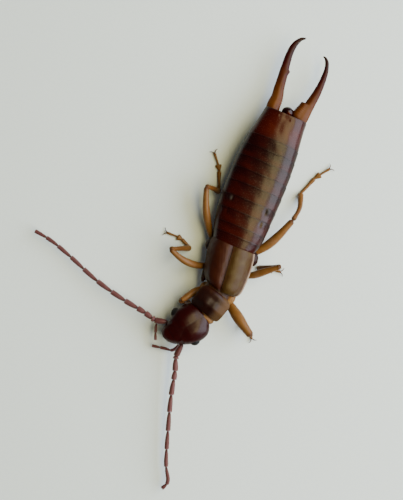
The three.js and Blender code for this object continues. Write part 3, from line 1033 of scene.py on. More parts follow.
    def close(self, skin: Skin) -> Skin:
        """Turns the hind edge in and closes it with a shallow hollow, ring by smaller ring.

        Args:
            skin: The skin, whose last row is the hind edge.

        Returns:
            The same skin, with more rows.
        """
        rim = skin.points[-1]
        middle = rim.mean(axis=0)
        rings = ((0.985, 0.025), (0.95, 0.03), (0.9, 0.005), (0.84, -0.08), (0.6, -0.14), (0.3, -0.16))
        extra = []
        for shrink, depth in rings:
            ring = middle + (rim - middle) * shrink
            ring[:, 1] += depth
            extra.append(ring)
        skin.points = np.concatenate([skin.points, np.stack(extra)])
        skin.tone = np.vstack([skin.tone, np.repeat(skin.tone[-1:] * 0.6, len(extra), axis=0)])
        skin.edge = np.vstack([skin.edge, np.repeat(skin.edge[-1:] * 0.5, len(extra), axis=0)])
        return skin

    def build(self) -> None:
        """Makes the abdomen and the small plate between the forceps."""
        Piece("abdomen_shell", [self.skin()], Finishes.ABDOMEN.value, ["abdomen"], "abdomen").build()
        plate = egg((-0.12, 6.96, 1.2), (0.33, 0.28, 0.29), rows=60, columns=60)
        x, y, z = (plate.points[..., k] for k in range(3))
        plate.push(0.008 * grain(plate.points, 0.2, 6))
        plate.marked(0.3 + 0.5 * bell(x + 0.02, 0.12) * bell(y - 6.88, 0.1) * (z > 1.2))
        Piece("end_plate", [plate], Finishes.ABDOMEN.value, ["pygidium"], "abdomen").build()


@dataclass
class ForcepsArm:
    """One arm of the forceps: broad and flat at its root, with a thin curved tip.

    line holds x, y, z and half width. inner is the sign of its inner side in X. lobe and tooth are Y,
    length and size.
    """

    name: str
    line: tuple[tuple[float, float, float, float], ...]
    inner: int
    lobe: Point
    tooth: Point | None = None
    notch: float = 0.012
    notch_pitch: float = 0.11
    columns: int = 72
    power: float = 0.92

    def build(self) -> None:
        """Lofts the arm, swells its inner side, darkens its tip and paints shade on the inner side behind
        the lobe's end.

        The inner lobe rises and ends in smooth steps, the tooth is a bell curve of the length, and
        small notches run along the lobe as a sine.
        """
        table = np.array(self.line)
        share = end_to_end(260, 0.3)
        place, _, side, up = Spine([row[:3] for row in self.line]).walk(share)
        run = np.concatenate([[0.0], np.cumsum(np.linalg.norm(np.diff(table[:, :3], axis=0), axis=1))])
        half = through(run / run[-1], table[:, 3], share, True) * dome(share, 0.012)
        flat = through([0.0, 0.25, 0.6, 1.0], [0.25, 0.19, 0.17, 0.05], share, True)
        high = np.minimum(flat, half * 0.98) * dome(share, 0.012)
        across, upward = loop(self.columns, self.power)
        skin = Skin(loft(place, side, up, half, high, high, self.columns, self.power))
        lean = np.sign(side[:, 0])[:, None] * across[None]
        inward = np.clip(lean * self.inner, 0, 1) ** 1.5
        y = place[:, 1][:, None]
        at, width, size = self.lobe
        rise = step_up(y, at - width - 0.3, at - width)
        fall = 1 - step_up(y, at + width * 0.8, at + width)
        notch = min(self.notch, size) * np.sin(y * 2 * math.pi / self.notch_pitch) * bell(y - at, width)
        # Painted shade on the inner side just behind the lobe's end, deeper for a bigger lobe.
        dark = min(0.8, 4 * size) * inward * bell(y - at - width, 0.12)
        swell = inward * (size * rise * fall + notch)
        if self.tooth:
            at, width, size = self.tooth
            blade = np.where(y > at, bell(y - at, width * 0.45), bell(y - at, width))
            swell = swell + inward**2 * size * blade
        skin.push(swell)
        fade = 1 - step_up(share, 0.1, 0.5)
        ridge = 0.02 * bell(across, 0.3)[None] * (upward > 0)[None] * fade[:, None]
        skin.push(ridge + 0.003 * grain(skin.points, 0.25, 12))
        tone = through([0.0, 0.15, 0.35, 0.6, 0.85, 1.0], [0.7, 0.8, 0.62, 0.36, 0.12, 0.03], share)
        skin.marked(tone[:, None] - 0.12 * inward + 0.05 * grain(skin.points, 0.3, 13), dark)
        hairs = [(Bristle(60, 0.14, 0.004, 0.9, 31), 0)]
        Piece(f"{self.name}_arm", [skin], Finishes.FORCEPS.value, [self.name], "forceps", hairs).build()


@dataclass
class Head:
    """The head: capsule, seams, upper lip, eyes and mouthparts, all placed from its middle and heading.

    outline holds places forward of the middle, the sway to the left there, and the half width.
    """

    at: Pair = (-0.65, -6.0)
    turn: float = -0.64
    level: float = 1.14
    top: float = 0.6
    bottom: float = 0.5
    columns: int = 180
    outline: tuple[Point, ...] = (
        (-1.16, 0.05, 0.3),
        (-1.12, 0.0, 0.56),
        (-1.05, -0.05, 0.76),
        (-0.9, -0.03, 0.93),
        (-0.7, -0.01, 1.03),
        (-0.35, 0.0, 1.09),
        (0.0, 0.0, 1.08),
        (0.3, 0.0, 0.98),
        (0.66, 0.01, 0.78),
        (0.9, -0.02, 0.66),
        (1.13, -0.065, 0.52),
        (1.27, -0.1, 0.39),
        (1.37, -0.13, 0.22),
        (1.41, -0.14, 0.06),
    )

    def spot(self, forward: float, left: float, height: float) -> Point:
        """Finds a place by its distance from the head's middle.

        Args:
            forward: Distance along the head's heading.
            left: Distance to its left.
            height: Height above the floor.

        Returns:
            The place.
        """
        ahead, beside = turned(self.turn)
        place = np.array([self.at[0], self.at[1], height]) + ahead * forward + beside * left
        return tuple(place)

    def capsule(self) -> Skin:
        """The capsule: loops of the outline's width under a dome, with a waist behind and a flat brow.

        Returns:
            The skin with its seams sunk and darkened.
        """
        table = np.array(self.outline)
        rear, front = table[0, 0], table[-1, 0]
        forward = rear + (front - rear) * end_to_end(150, 0.55)
        sway = through(table[:, 0], table[:, 1], forward)
        half = through(table[:, 0], table[:, 2], forward, True)
        rise = np.sqrt(np.maximum(0.04, 1 - (forward / 1.5) ** 2))
        ahead, left = turned(self.turn)
        base = np.array([self.at[0], self.at[1], self.level])
        centre = base + ahead * forward[:, None] + left * sway[:, None]
        centre[:, 2] -= np.clip(forward, 0, None) * 0.1
        skin = Skin(loft(centre, left, UP, half, self.top * rise, self.bottom * rise, self.columns, 0.88))
        fore = forward[:, None]
        offset = skin.points - base
        beside = offset @ left
        height = offset[..., 2]
        upper = step_up(height, 0.05, 0.3)
        seam = bell(beside, 0.022) * (1 - step_up(fore, 0.05, 0.25))
        fork = bell(np.abs(beside) - 0.72 * np.clip(fore - 0.1, 0, None) - 0.02, 0.028)
        fork = fork * step_up(fore, 0.05, 0.15) * (1 - step_up(fore, 0.6, 0.8))
        amount = -0.008 * (seam + 0.8 * fork) * upper
        amount += 0.05 * bell(np.abs(beside) - 0.45, 0.3) * bell(fore + 0.35, 0.5) * upper
        amount -= 0.02 * bell(np.abs(beside) - 0.28, 0.2) * bell(fore - 0.42, 0.24) * upper
        amount -= 0.012 * bell(beside, 0.5) * bell(fore - 0.98, 0.05) * upper
        for sign in (-1, 1):
            ring = bell(np.hypot(beside - sign * 0.66, fore - 0.66) - 0.16, 0.05)
            amount += 0.02 * ring * step_up(height, -0.2, 0.1)
        amount += 0.005 * grain(skin.points, 0.5, 21)
        skin.push(amount)
        tone = 0.4 + 0.14 * step_up(fore, 0.7, 1.2) + 0.06 * step_up(-fore, 0.8, 1.1)
        return skin.marked(tone + 0.05 * grain(skin.points, 0.4, 22), (0.3 * seam + 0.25 * fork) * upper)

    def lip(self) -> Skin:
        """The upper lip: a rounded plate tucked under the brow.

        Returns:
            Its skin.
        """
        ahead, left = turned(self.turn)
        share = end_to_end(50, 0.6)
        forward = 0.95 + 0.44 * share
        half = 0.42 * np.sqrt(np.maximum(0.0, 1 - share**3.2)) + 0.02
        centre = np.array([self.at[0], self.at[1], 0.88]) + ahead * forward[:, None] - left * 0.12
        centre[:, 2] -= 0.1 * share
        thick = 0.13 * np.sqrt(np.maximum(0.05, 1 - share**4))
        skin = Skin(loft(centre, left, UP, half, thick * 0.8, thick, 60, 0.8))
        tone = 0.55 - 0.15 * share[:, None] + 0.06 * grain(skin.points, 0.2, 25)
        return skin.marked(tone, 0.4 * step_up(share, 0.9, 1.0)[:, None])

    def eye(self, side: int) -> Skin:
        """A round eye that bulges from the cheek.

        Args:
            side: 1 for the left, -1 for the right.

        Returns:
            Its skin.
        """
        forward = 0.0 if side > 0 else 0.12
        middle = self.spot(forward, 0.89 * side, self.level + 0.04)
        return egg(middle, (0.3, 0.3, 0.27), self.turn, 90, 96).marked(0.4)

    def jaws(self) -> list[Skin]:
        """Mandibles, maxillae and lower lip in a close bundle under the head.

        Returns:
            A skin for each.
        """
        biting = ((0.25, 0.42, 0.52), (0.8, 0.42, 0.5), (1.18, 0.2, 0.52), (1.3, 0.05, 0.55))
        under = ((-0.3, 0.3, 0.42), (0.5, 0.3, 0.32), (1.05, 0.16, 0.36))
        share = end_to_end(60, 0.4)
        half = through([0, 0.5, 0.85, 1.0], [0.17, 0.19, 0.12, 0.03], share, True)
        skins = []
        for side in (-1, 1):
            line = [self.spot(forward, left * side, height) for forward, left, height in biting]
            jaw = Spine(line).tube(share, half * dome(share, 0.06), half * 0.9 * dome(share, 0.06), 36)
            skins.append(jaw.marked(0.75 - 0.5 * step_up(share, 0.6, 1.0)[:, None]))
            line = [self.spot(forward, left * side, height) for forward, left, height in under]
            lobe = Spine(line).tube(share, 0.15 * dome(share, 0.2), 0.1 * dome(share, 0.2), 30)
            skins.append(lobe.marked(0.6))
        chin = egg(self.spot(0.25, 0.0, 0.42), (0.3, 0.6, 0.15), self.turn)
        return [*skins, chin.marked(0.45)]

    def build(self) -> None:
        """Makes the head's pieces."""
        Piece("head_capsule", [self.capsule(), self.lip()], Finishes.HEAD.value, ["head"], "head").build()
        for side, name in ((1, "eye_left"), (-1, "eye_right")):
            Piece(f"{name}_facets", [self.eye(side)], Finishes.EYE.value, [name], "eye").build()
        Piece("jaws", self.jaws(), Finishes.HEAD.value, ["mouthparts"], "head").build()


@dataclass
class Feeler:
    """An antenna or palp: a row of joints, each narrow at its foot and widest just before its end.

    joints are the shares of the line at which the joints end. width and tip_width are whole widths.
    foot is how much darker the first joint is.
    """

    name: str
    line: tuple[Point, ...]
    joints: tuple[float, ...]
    width: float
    tip_width: float
    foot: float = 0.3
    bristles: int = 500

    def build(self) -> None:
        """Works out the radius from the place inside each joint and lofts it along the line."""
        ends = np.array(self.joints)
        starts = np.concatenate([[0.0], ends[:-1]])
        inside = np.array([0.0, 0.03, 0.09, 0.2, 0.35, 0.5, 0.65, 0.78, 0.87, 0.93, 0.965, 0.985, 0.995])
        share = np.concatenate([s + (e - s) * inside for s, e in zip(starts, ends)] + [[1.0]])
        place = np.concatenate([np.tile(inside, len(ends)), [1.0]])
        number = np.concatenate([np.repeat(np.arange(len(ends)), len(inside)), [len(ends) - 1]])
        stops = [0.0, 0.08, 0.35, 0.8, 0.94, 0.985, 1.0]
        swell = through(stops, [0.42, 0.6, 0.86, 1.0, 1.0, 0.86, 0.46], place, True)
        radius = (self.width + (self.tip_width - self.width) * share) / 2 * swell
        radius[-1] *= 0.4
        skin = Spine(self.line).tube(share, radius, radius, 32)
        skin.push(0.002 * grain(skin.points, 0.1, 41))
        band = 0.3 * bell(place - 0.97, 0.06) - 0.3 * bell(place - 0.05, 0.12)
        tone = 0.62 - 0.12 * share + band - self.foot * (number == 0)
        edge = 0.8 * bell(place, 0.05) + 0.4 * bell(place - 1.0, 0.02)
        skin.marked(tone[:, None] + 0.06 * grain(skin.points, 0.3, 42), edge[:, None])
        hairs = [(Bristle(self.bristles, 0.09, 0.0035, 1.2, 43), 0)]
        Piece(f"{self.name}_joints", [skin], Finishes.FEELER.value, [self.name], "feeler", hairs).build()


@dataclass
class Leg:
    """A leg: thigh, shin, a foot of three joints, the second lobed, and two hooked claws.

    femur is the thigh's line, bend the middle of the shin and heel the X and Y of its end, and tarsus
    the ends of the foot's joints. thick is the thigh's half width and foot the height of the foot's
    middle above the floor.
    """

    name: str
    femur: tuple[Point, ...]
    bend: Point
    heel: Pair
    tarsus: tuple[Pair, ...]
    thick: float = 0.2
    foot: float = 0.095

    def thigh(self) -> Skin:
        """The thigh: a rod that swells before its middle and narrows to the knee.

        Returns:
            Its skin.
        """
        share = end_to_end(110, 0.4)
        swell = through([0, 0.12, 0.45, 0.8, 0.94, 1.0], [0.62, 0.86, 1.06, 0.8, 0.7, 0.55], share, True)
        half = self.thick * swell * dome(share, 0.05)
        skin = Spine(self.femur).tube(share, half, half * 1.05, 56, 0.95)
        tone = 0.62 + 0.14 * bell(share - 0.45, 0.3) - 0.3 * step_up(share, 0.88, 1.0)
        edge = 0.5 * step_up(share, 0.93, 1.0)
        return skin.marked(tone[:, None] + 0.05 * grain(skin.points, 0.3, 51), edge[:, None])

    def shin(self) -> Skin:
        """The shin: slender and a little wider towards the foot, from the thigh's end to the floor.

        Returns:
            Its skin.
        """
        share = end_to_end(90, 0.4)
        swell = through([0, 0.08, 0.2, 0.7, 0.95, 1.0], [0.75, 0.95, 0.8, 1.0, 1.1, 0.8], share, True)
        line = [self.femur[-1], self.bend, (*self.heel, self.foot + 0.03)]
        half = 0.148 * swell * dome(share, 0.05)
        skin = Spine(line).tube(share, half, half, 44)
        tone = 0.6 - 0.16 * bell(share - 0.35, 0.25) + 0.1 * share
        edge = 0.5 * bell(share - 0.03, 0.04)
        return skin.marked(tone[:, None] + 0.05 * grain(skin.points, 0.3, 52), edge[:, None])

    def joint(self, start: Pair, end: Pair, half: float, flat: float, lobed: bool = False) -> Skin:
        """A foot joint that lies on the floor, widest before its end.

        Args:
            start: X and Y where it starts; it runs a little back into the joint before it.
            end: X and Y where it ends.
            half: Half its width.
            flat: Half its height.
            lobed: Whether it is narrow at its foot and broad at its end.

        Returns:
            Its skin.
        """
        a, b = np.array([*start, self.foot]), np.array([*end, self.foot])
        a = a - (b - a) / np.linalg.norm(b - a) * 0.06
        share = end_to_end(50, 0.5)
        wide = [0.4, 0.55, 1.0, 1.15, 0.5] if lobed else [0.75, 0.7, 0.85, 1.0, 0.6]
        swell = through([0, 0.25, 0.65, 0.88, 1.0], wide, share, True) * dome(share, 0.07)
        skin = Spine([a, (a + b) / 2, b]).tube(share, half * swell, flat * swell**0.7, 36)
        skin.points[..., 2] = np.maximum(skin.points[..., 2], 0.002)
        tone = (0.62 + 0.1 * share)[:, None] + 0.05 * grain(skin.points, 0.2, 53)
        return skin.marked(tone, 0.6 * bell(share - 1.0, 0.06)[:, None])

    def claw(self, side: int) -> Skin:
        """A hooked claw: a thin horn that curls out and down to the floor.

        Args:
            side: 1 or -1, the side to which it curls.

        Returns:
            Its skin.
        """
        tip = np.array([*self.tarsus[3], self.foot])
        back = np.array([*self.tarsus[2], self.foot])
        ahead = (tip - back) / np.linalg.norm(tip - back)
        out = np.cross(ahead, UP) * side
        line = [
            tip - ahead * 0.06,
            tip + ahead * 0.06 + out * 0.07 + UP * 0.03,
            tip + ahead * 0.14 + out * 0.17,
            tip + ahead * 0.16 + out * 0.25 - UP * (self.foot - 0.03),
        ]
        share = end_to_end(30, 0.3)
        radius = (0.036 - 0.028 * share) * dome(share, 0.05)
        skin = Spine(line).tube(share, radius, radius * 1.2, 16)
        skin.points[..., 2] = np.maximum(skin.points[..., 2], 0.001)
        return skin.marked((0.4 - 0.35 * share)[:, None])

    def build(self) -> None:
        """Makes the leg in one piece, with hairs on all but the claws."""
        a, b, c, d = self.tarsus
        skins = [
            self.thigh(),
            self.shin(),
            self.joint(a, b, 0.112, 0.093),
            self.joint(b, c, 0.155, 0.085, lobed=True),
            self.joint(c, d, 0.075, 0.08),
            self.claw(-1),
            self.claw(1),
        ]
        hairs = [
            (Bristle(90, 0.1, 0.004, 0.9, 61), 0),
            (Bristle(170, 0.12, 0.004, 0.9, 62), 1),
            (Bristle(120, 0.08, 0.0035, 0.9, 63), 2),
            (Bristle(80, 0.08, 0.0035, 0.9, 64), 3),
            (Bristle(60, 0.08, 0.0035, 0.9, 65), 4),
        ]
        Piece(f"{self.name}_limb", skins, Finishes.LEG.value, [self.name], "leg", hairs).build()


@dataclass
class Thorax:
    """The thorax: neck skin, front thorax, shield, wing cases, side plates and leg sockets.

    lean is how far its middle line leans in X over Y, and fore and rear are the Y of the wing cases'
    ends.
    """

    lean: float = -0.12
    fore: float = -3.5
    rear: float = -0.97
    shield_at: Pair = (0.09, -4.27)
    shield_turn: float = -0.27

    def axis(self, y: Array) -> Array:
        """The middle of the thorax seen from above, on a straight line that leans."""
        return self.lean * (y - self.rear)

    def rod(self, table: Array, turn: float) -> Skin:
        """A body part lofted along Y.

        Args:
            table: Rows of y, middle x, half width, and the heights of its top and bottom.
            turn: The heading of its loops.

        Returns:
            Its skin.
        """
        share = end_to_end(80, 0.3)
        y = table[0, 0] + (table[-1, 0] - table[0, 0]) * share
        x, half, top, bottom = (through(table[:, 0], table[:, k], y, True) for k in (1, 2, 3, 4))
        level = (top + bottom) / 2
        centre = np.stack([x, y, level], axis=1)
        _, left = turned(turn)
        ends = dome(share, 0.08)
        above, below = (top - level) * ends, (level - bottom) * ends
        return Skin(loft(centre, left, UP, half * ends, above, below, 72, 0.88))

    def neck(self) -> Skin:
        """Wrinkled skin between the head and the front thorax; folds run across it as a sine.

        Returns:
            Its skin.
        """
        spine = Spine([(0.2, -4.4, 1.04), (0.12, -4.85, 1.08), (-0.02, -5.3, 1.06)])
        share = end_to_end(120, 0.1)
        half = through([0, 0.3, 0.6, 1.0], [0.6, 0.58, 0.6, 0.56], share) * dome(share, 0.08)
        skin = spine.tube(share, half, half * 0.78, 72, 0.9)
        wave = np.sin(share * 26)[:, None]
        skin.push(0.014 * wave + 0.012 * grain(skin.points, 0.2, 71))
        return skin.marked(0.58 + 0.07 * wave + 0.1 * grain(skin.points, 0.3, 72))

    def front(self) -> list[Skin]:
        """The front thorax: a soft core, the sockets of the front legs and a fold over the left one.

        Returns:
            A skin for each.
        """
        table = [
            (-4.98, 0.04, 0.56, 1.6, 0.6),
            (-4.2, 0.1, 0.74, 1.66, 0.46),
            (-3.7, 0.17, 0.8, 1.66, 0.45),
            (-3.05, 0.22, 0.74, 1.5, 0.5),
        ]
        core = self.rod(np.array(table), -0.2)
        core.push(0.018 * grain(core.points, 0.3, 74))
        tone = 0.55 - 0.5 * step_up(core.points[..., 2], 1.2, 1.5)
        core.marked(tone + 0.16 * grain(core.points, 0.4, 75))
        lumps = [
            ((0.88, -3.8, 0.76), (0.36, 0.42, 0.32), -0.3),
            ((-0.52, -3.74, 0.74), (0.3, 0.4, 0.3), 0.3),
            ((0.92, -3.72, 1.12), (0.3, 0.42, 0.2), -0.5),
        ]
        skins = [core]
        for number, (at, size, turn) in enumerate(lumps):
            lump = egg(at, size, turn)
            lump.push(0.014 * grain(lump.points, 0.22, 76 + number))
            skins.append(lump.marked(0.66 + 0.14 * grain(lump.points, 0.3, 79 + number)))
        return skins

    def shield(self) -> Skin:
        """The pronotum: a thin plate with a raised front disc, a middle groove and flat pale rims; the
        left rim's pale colour spreads over the left third, partly its own and partly a painted reflection.

        The plate is a loop of small thickness bent over a low arch, so that its rims come down
        on both sides; the disc is a bell curve of the place on it.

        Returns:
            Its skin.
        """
        ahead, left = turned(self.shield_turn)
        places = np.array([-0.68, -0.62, -0.5, -0.3, 0.1, 0.5, 0.66, 0.7])
        widths = np.array([0.45, 0.72, 0.88, 0.95, 0.95, 0.93, 0.86, 0.72])
        share = end_to_end(110, 0.6)
        forward = places[-1] + (places[0] - places[-1]) * share
        half = through(places, widths, forward, True)
        base = np.array([self.shield_at[0], self.shield_at[1], 1.66])
        centre = base + ahead * forward[:, None]
        thick = 0.07 * dome(share, 0.05)
        points = loft(centre, left, UP, half, thick, thick, 160, 0.6)
        beside = (points - base) @ left
        fore = forward[:, None]
        width = beside / half[:, None]
        points[..., 2] += 0.2 * (1 - np.abs(width) ** 2.2) + 0.05 * bell(width, 0.5)
        points[..., 2] -= 0.12 * step_up(-fore, 0.45, 0.75) + 0.27 * step_up(fore, 0.15, 0.75)
        disc = bell(np.abs(beside) - 0.3, 0.26) * bell(fore - 0.22, 0.36)
        groove = 0.02 * bell(beside, 0.04) * bell(fore, 0.5)
        dip = 0.03 * bell(fore + 0.2, 0.14) * bell(beside, 0.5)
        points[..., 2] += 0.06 * disc - groove - dip
        points[..., 2] += 0.012 * step_up(np.abs(width), 0.88, 1.0)
        tone = 0.3 + 0.1 * step_up(-fore, 0.1, 0.5) + 0.05 * grain(points, 0.3, 82)
        # The left rim's pale colour reaches over the left third, partly the rim's own colour and partly a
        # painted reflection of the lamps; the right rim is only faintly paler.
        rim = 0.6 * step_up(width, 0.25, 0.75) + 0.1 * step_up(-width, 0.86, 0.97)
        return Skin(points, tone, rim, pleat=0)

    def wing_case(self, side: int) -> Skin:
        """A wing case: a thin plate from the seam over the back and down the flank.

        Each row is a loop that runs out over an arch and back a plate's thickness below it. The
        arch is flat on top and turns down near its outer rim; a low keel marks the shoulder.

        Args:
            side: 1 for the left, which is painted lighter and olive with a pale outer rim as a painted
            reflection of the lamps; -1 for the right, which keeps the deeper brown of both.

        Returns:
            Its skin.
        """
        share = end_to_end(150, 0.35)
        y = self.fore + (self.rear - self.fore) * share
        places = [self.fore, -3.42, -3.2, -2.9, -2.4, -1.8, -1.3, self.rear]
        half = through(places, [0.5, 0.86, 1.12, 1.25, 1.33, 1.38, 1.36, 1.29], y, True)
        run = end_to_end(55, 0.5)
        out = np.concatenate([run, run[::-1]])[None]
        below = np.concatenate([np.zeros_like(run), np.ones_like(run)])[None]
        arch = np.clip(out, 0, 1) ** 3.2
        rise = through([0.0, 0.08, 0.3, 0.9, 1.0], [0.72, 0.86, 0.96, 0.97, 0.93], share)[:, None]
        thick = 0.07 * dome(share, 0.03)[:, None] * np.minimum(1.0, 4 * np.minimum(out + 0.03, 1.03 - out))
        middle = self.axis(y)[:, None]
        turn = self.lean * np.minimum(1.0, (self.rear - y) / 1.2)[:, None]
        reach = half[:, None] * out * (1 - 0.04 * arch) + 0.015
        x = middle + side * reach * np.cos(turn)
        z = 1.16 + 0.92 * rise * (1 - 0.86 * arch) - 0.08 * bell(out, 0.13)
        z = z + 0.03 * bell(out - 0.72, 0.08) * step_up(-y, 1.6, 2.8)[:, None]
        z = z - thick * below
        hind = y[:, None] + side * reach * np.sin(turn) + 0.05 * out * step_up(share, 0.7, 1.0)[:, None]
        points = np.stack([x, np.broadcast_to(hind, x.shape), z], axis=2)
        skin = Skin(points, pleat=-1)
        rough = 0.008 * grain(points, 0.35, 90 + side) + 0.004 * grain(points, 0.12, 93 + side)
        skin.push(rough * (1 - below))
        strip = step_up(out, 0.76, 0.88)
        # Tone: lighter and olive on the left case as a painted reflection of the lamps; its outer strip is
        # deeper, the right case's a little lighter, and the seam deeper on both.
        tone = 0.5 + 0.14 * side - (0.03 + 0.08 * side) * strip - 0.12 * bell(out, 0.08)
        # A pale outer rim on the left case only, a painted reflection of the lamps.
        pale = (0.3 + 0.3 * side) * step_up(out, 0.9, 0.98)
        return skin.marked(tone + 0.08 * grain(points, 0.4, 95 + side), pale)

    def core(self) -> list[Skin]:
        """The middle and hind thorax: core, leg sockets, side plates and the hind legs' first joints.

        Returns:
            A skin for each.
        """
        table = [
            (-3.1, 0.24, 0.78, 1.4, 0.5),
            (-2.4, 0.16, 0.86, 1.76, 0.48),
            (-1.6, 0.06, 0.9, 1.86, 0.48),
            (-0.75, 0.0, 0.95, 1.66, 0.52),
        ]
        core = self.rod(np.array(table), -0.1)
        core.push(0.01 * grain(core.points, 0.4, 100))
        core.marked(0.42 + 0.1 * grain(core.points, 0.4, 101))
        lumps = [
            ((-1.14, -1.3, 0.84), (0.32, 0.4, 0.3), -0.35),
            ((1.26, -1.2, 0.84), (0.32, 0.42, 0.3), 0.2),
            ((-0.74, -2.35, 0.68), (0.36, 0.45, 0.3), 0.0),
            ((0.97, -2.2, 0.68), (0.38, 0.45, 0.3), 0.0),
            ((-0.86, -2.9, 0.95), (0.16, 0.55, 0.24), 0.1),
            ((1.06, -2.8, 0.95), (0.16, 0.55, 0.24), -0.2),
            ((-1.0, -1.22, 0.6), (0.36, 0.4, 0.25), -0.2),
            ((1.02, -1.08, 0.6), (0.36, 0.4, 0.25), 0.2),
        ]
        skins = [core]
        for number, (at, size, turn) in enumerate(lumps):
            lump = egg(at, size, turn, 50, 60)
            lump.push(0.012 * grain(lump.points, 0.25, 102 + number))
            skins.append(lump.marked(0.38 + 0.1 * grain(lump.points, 0.3, 110 + number)))
        return skins

    def build(self) -> None:
        """Makes the thorax's pieces."""
        Piece("neck_skin", [self.neck()], Finishes.MEMBRANE.value, ["neck"], "membrane").build()
        Piece("front_thorax", self.front(), Finishes.MEMBRANE.value, ["prothorax"], "membrane").build()
        Piece("shield", [self.shield()], Finishes.THORAX.value, ["pronotum"], "thorax").build()
        Piece("rear_thorax", self.core(), Finishes.THORAX.value, ["thorax"], "thorax").build()
        for side, name in ((1, "tegmen_left"), (-1, "tegmen_right")):
            plate = self.wing_case(side)
            Piece(f"{name}_plate", [plate], Finishes.WING_CASE.value, [name], "tegmen").build()


ARMS = (
    ForcepsArm(
        "forceps_right",
        (
            (-0.95, 6.66, 1.1, 0.37),
            (-0.98, 7.0, 1.12, 0.37),
            (-0.98, 7.5, 1.12, 0.33),
            (-1.07, 8.0, 1.13, 0.29),
            (-1.13, 8.5, 1.15, 0.265),
            (-1.19, 9.0, 1.17, 0.24),
            (-1.245, 9.5, 1.19, 0.215),
            (-1.275, 10.0, 1.21, 0.19),
            (-1.24, 10.4, 1.23, 0.17),
            (-1.13, 10.72, 1.25, 0.13),
            (-0.97, 10.94, 1.26, 0.09),
            (-0.76, 11.05, 1.27, 0.035),
        ),
        1,
        (7.2, 0.36, 0.01),
        (8.99, 0.16, 0.09),
    ),
    ForcepsArm(
        "forceps_left",
        (
            (0.66, 6.66, 1.1, 0.36),
            (0.7, 7.0, 1.12, 0.38),
            (0.79, 7.5, 1.12, 0.31),
            (0.87, 8.0, 1.13, 0.265),
            (0.94, 8.5, 1.15, 0.23),
            (0.97, 9.0, 1.17, 0.19),
            (0.965, 9.5, 1.19, 0.16),
            (0.9, 10.0, 1.21, 0.12),
            (0.79, 10.3, 1.23, 0.1),
            (0.65, 10.46, 1.24, 0.07),
            (0.48, 10.53, 1.25, 0.03),
        ),
        -1,
        (7.35, 0.42, 0.19),
    ),
)

PALP_JOINTS = (0.1, 0.22, 0.5, 0.78, 1.0)
FEELERS = (
    Feeler(
        "antenna_right",
        (
            (-1.72, -6.2, 1.1),
            (-2.32, -6.36, 1.1),
            (-3.05, -6.22, 1.02),
            (-4.4, -6.03, 0.9),
            (-6.2, -5.64, 0.74),
            (-8.05, -5.0, 0.62),
            (-9.5, -4.58, 0.58),
            (-10.4, -4.46, 0.56),
        ),
        (0.075, 0.095, 0.149, 0.205, 0.296, 0.396, 0.506, 0.619, 0.725, 0.831, 0.919, 1.0),
        0.35,
        0.22,
    ),
    Feeler(
        "antenna_left",
        (
            (-0.47, -7.02, 1.1),
            (-0.52, -7.7, 1.1),
            (-0.27, -8.5, 1.02),
            (0.07, -9.85, 0.9),
            (0.66, -11.7, 0.74),
            (1.35, -13.6, 0.62),
            (1.76, -14.45, 0.57),
            (1.62, -14.82, 0.52),
        ),
        (0.086, 0.105, 0.187, 0.246, 0.352, 0.469, 0.597, 0.72, 0.838, 0.958, 1.0),
        0.35,
        0.22,
    ),
    Feeler(
        "palp_left",
        (
            (-0.92, -6.75, 0.42),
            (-0.66, -7.18, 0.44),
            (-0.8, -7.54, 0.42),
            (-1.3, -7.66, 0.36),
            (-1.98, -7.79, 0.3),
        ),
        PALP_JOINTS,
        0.21,
        0.17,
        foot=0.0,
        bristles=120,
    ),
    Feeler(
        "palp_right",
        (
            (-1.42, -6.42, 0.42),
            (-1.95, -6.26, 0.44),
            (-2.2, -6.54, 0.52),
            (-2.1, -6.96, 0.67),
            (-1.92, -7.4, 0.8),
        ),
        PALP_JOINTS,
        0.19,
        0.16,
        foot=0.0,
        bristles=120,
    ),
)

LEGS = (
    Leg(
        "leg_front_left",
        ((1.02, -3.95, 0.66), (1.5, -4.28, 0.98), (2.1, -4.68, 1.26), (2.82, -5.12, 1.36)),
        (2.52, -4.94, 0.8),
        (2.2, -4.72),
        ((2.18, -4.7), (2.5, -4.88), (2.72, -5.02), (2.98, -5.3)),
        0.29,
    ),
    Leg(
        "leg_front_right",
        ((-0.6, -3.74, 0.66), (-0.92, -4.06, 0.92), (-1.22, -4.45, 1.15), (-1.5, -4.85, 1.24)),
        (-1.28, -4.82, 0.72),
        (-0.98, -4.86),
        ((-0.96, -4.88), (-1.1, -5.22), (-1.18, -5.42), (-1.3, -5.72)),
        0.21,
    ),
    Leg(
        "leg_middle_left",
        ((1.15, -2.25, 0.6), (1.6, -2.03, 0.8), (2.22, -1.5, 1.25), (2.82, -0.99, 1.52)),
        (2.3, -1.26, 0.95),
        (1.78, -1.56),
        ((1.74, -1.5), (2.2, -1.4), (2.6, -1.33), (3.0, -1.24)),
    ),
    Leg(
        "leg_middle_right",
        ((-0.85, -2.5, 0.62), (-1.4, -2.7, 0.84), (-2.3, -2.72, 1.3), (-3.12, -2.46, 1.52)),
        (-2.62, -2.22, 0.95),
        (-2.17, -2.0),
        ((-2.16, -1.97), (-2.75, -1.72), (-3.03, -1.68), (-3.68, -1.7)),
        0.19,
    ),
    Leg(
        "leg_hind_left",
        ((1.15, -0.95, 0.55), (1.76, -0.12, 0.75), (2.1, 0.62, 1.05), (2.45, 1.62, 1.25)),
        (2.55, 2.35, 0.8),
        (2.33, 3.2),
        ((2.33, 3.2), (2.73, 4.3), (2.93, 4.6), (3.28, 5.1)),
        0.24,
    ),
    Leg(
        "leg_hind_right",
        ((-1.15, -1.1, 0.55), (-1.66, -0.48, 0.78), (-2.15, 0.3, 1.15), (-2.64, 1.46, 1.52)),
        (-2.25, 1.52, 0.95),
        (-1.92, 1.54),
        ((-1.92, 1.58), (-2.34, 2.62), (-2.52, 2.9), (-2.96, 3.4)),
    ),
)


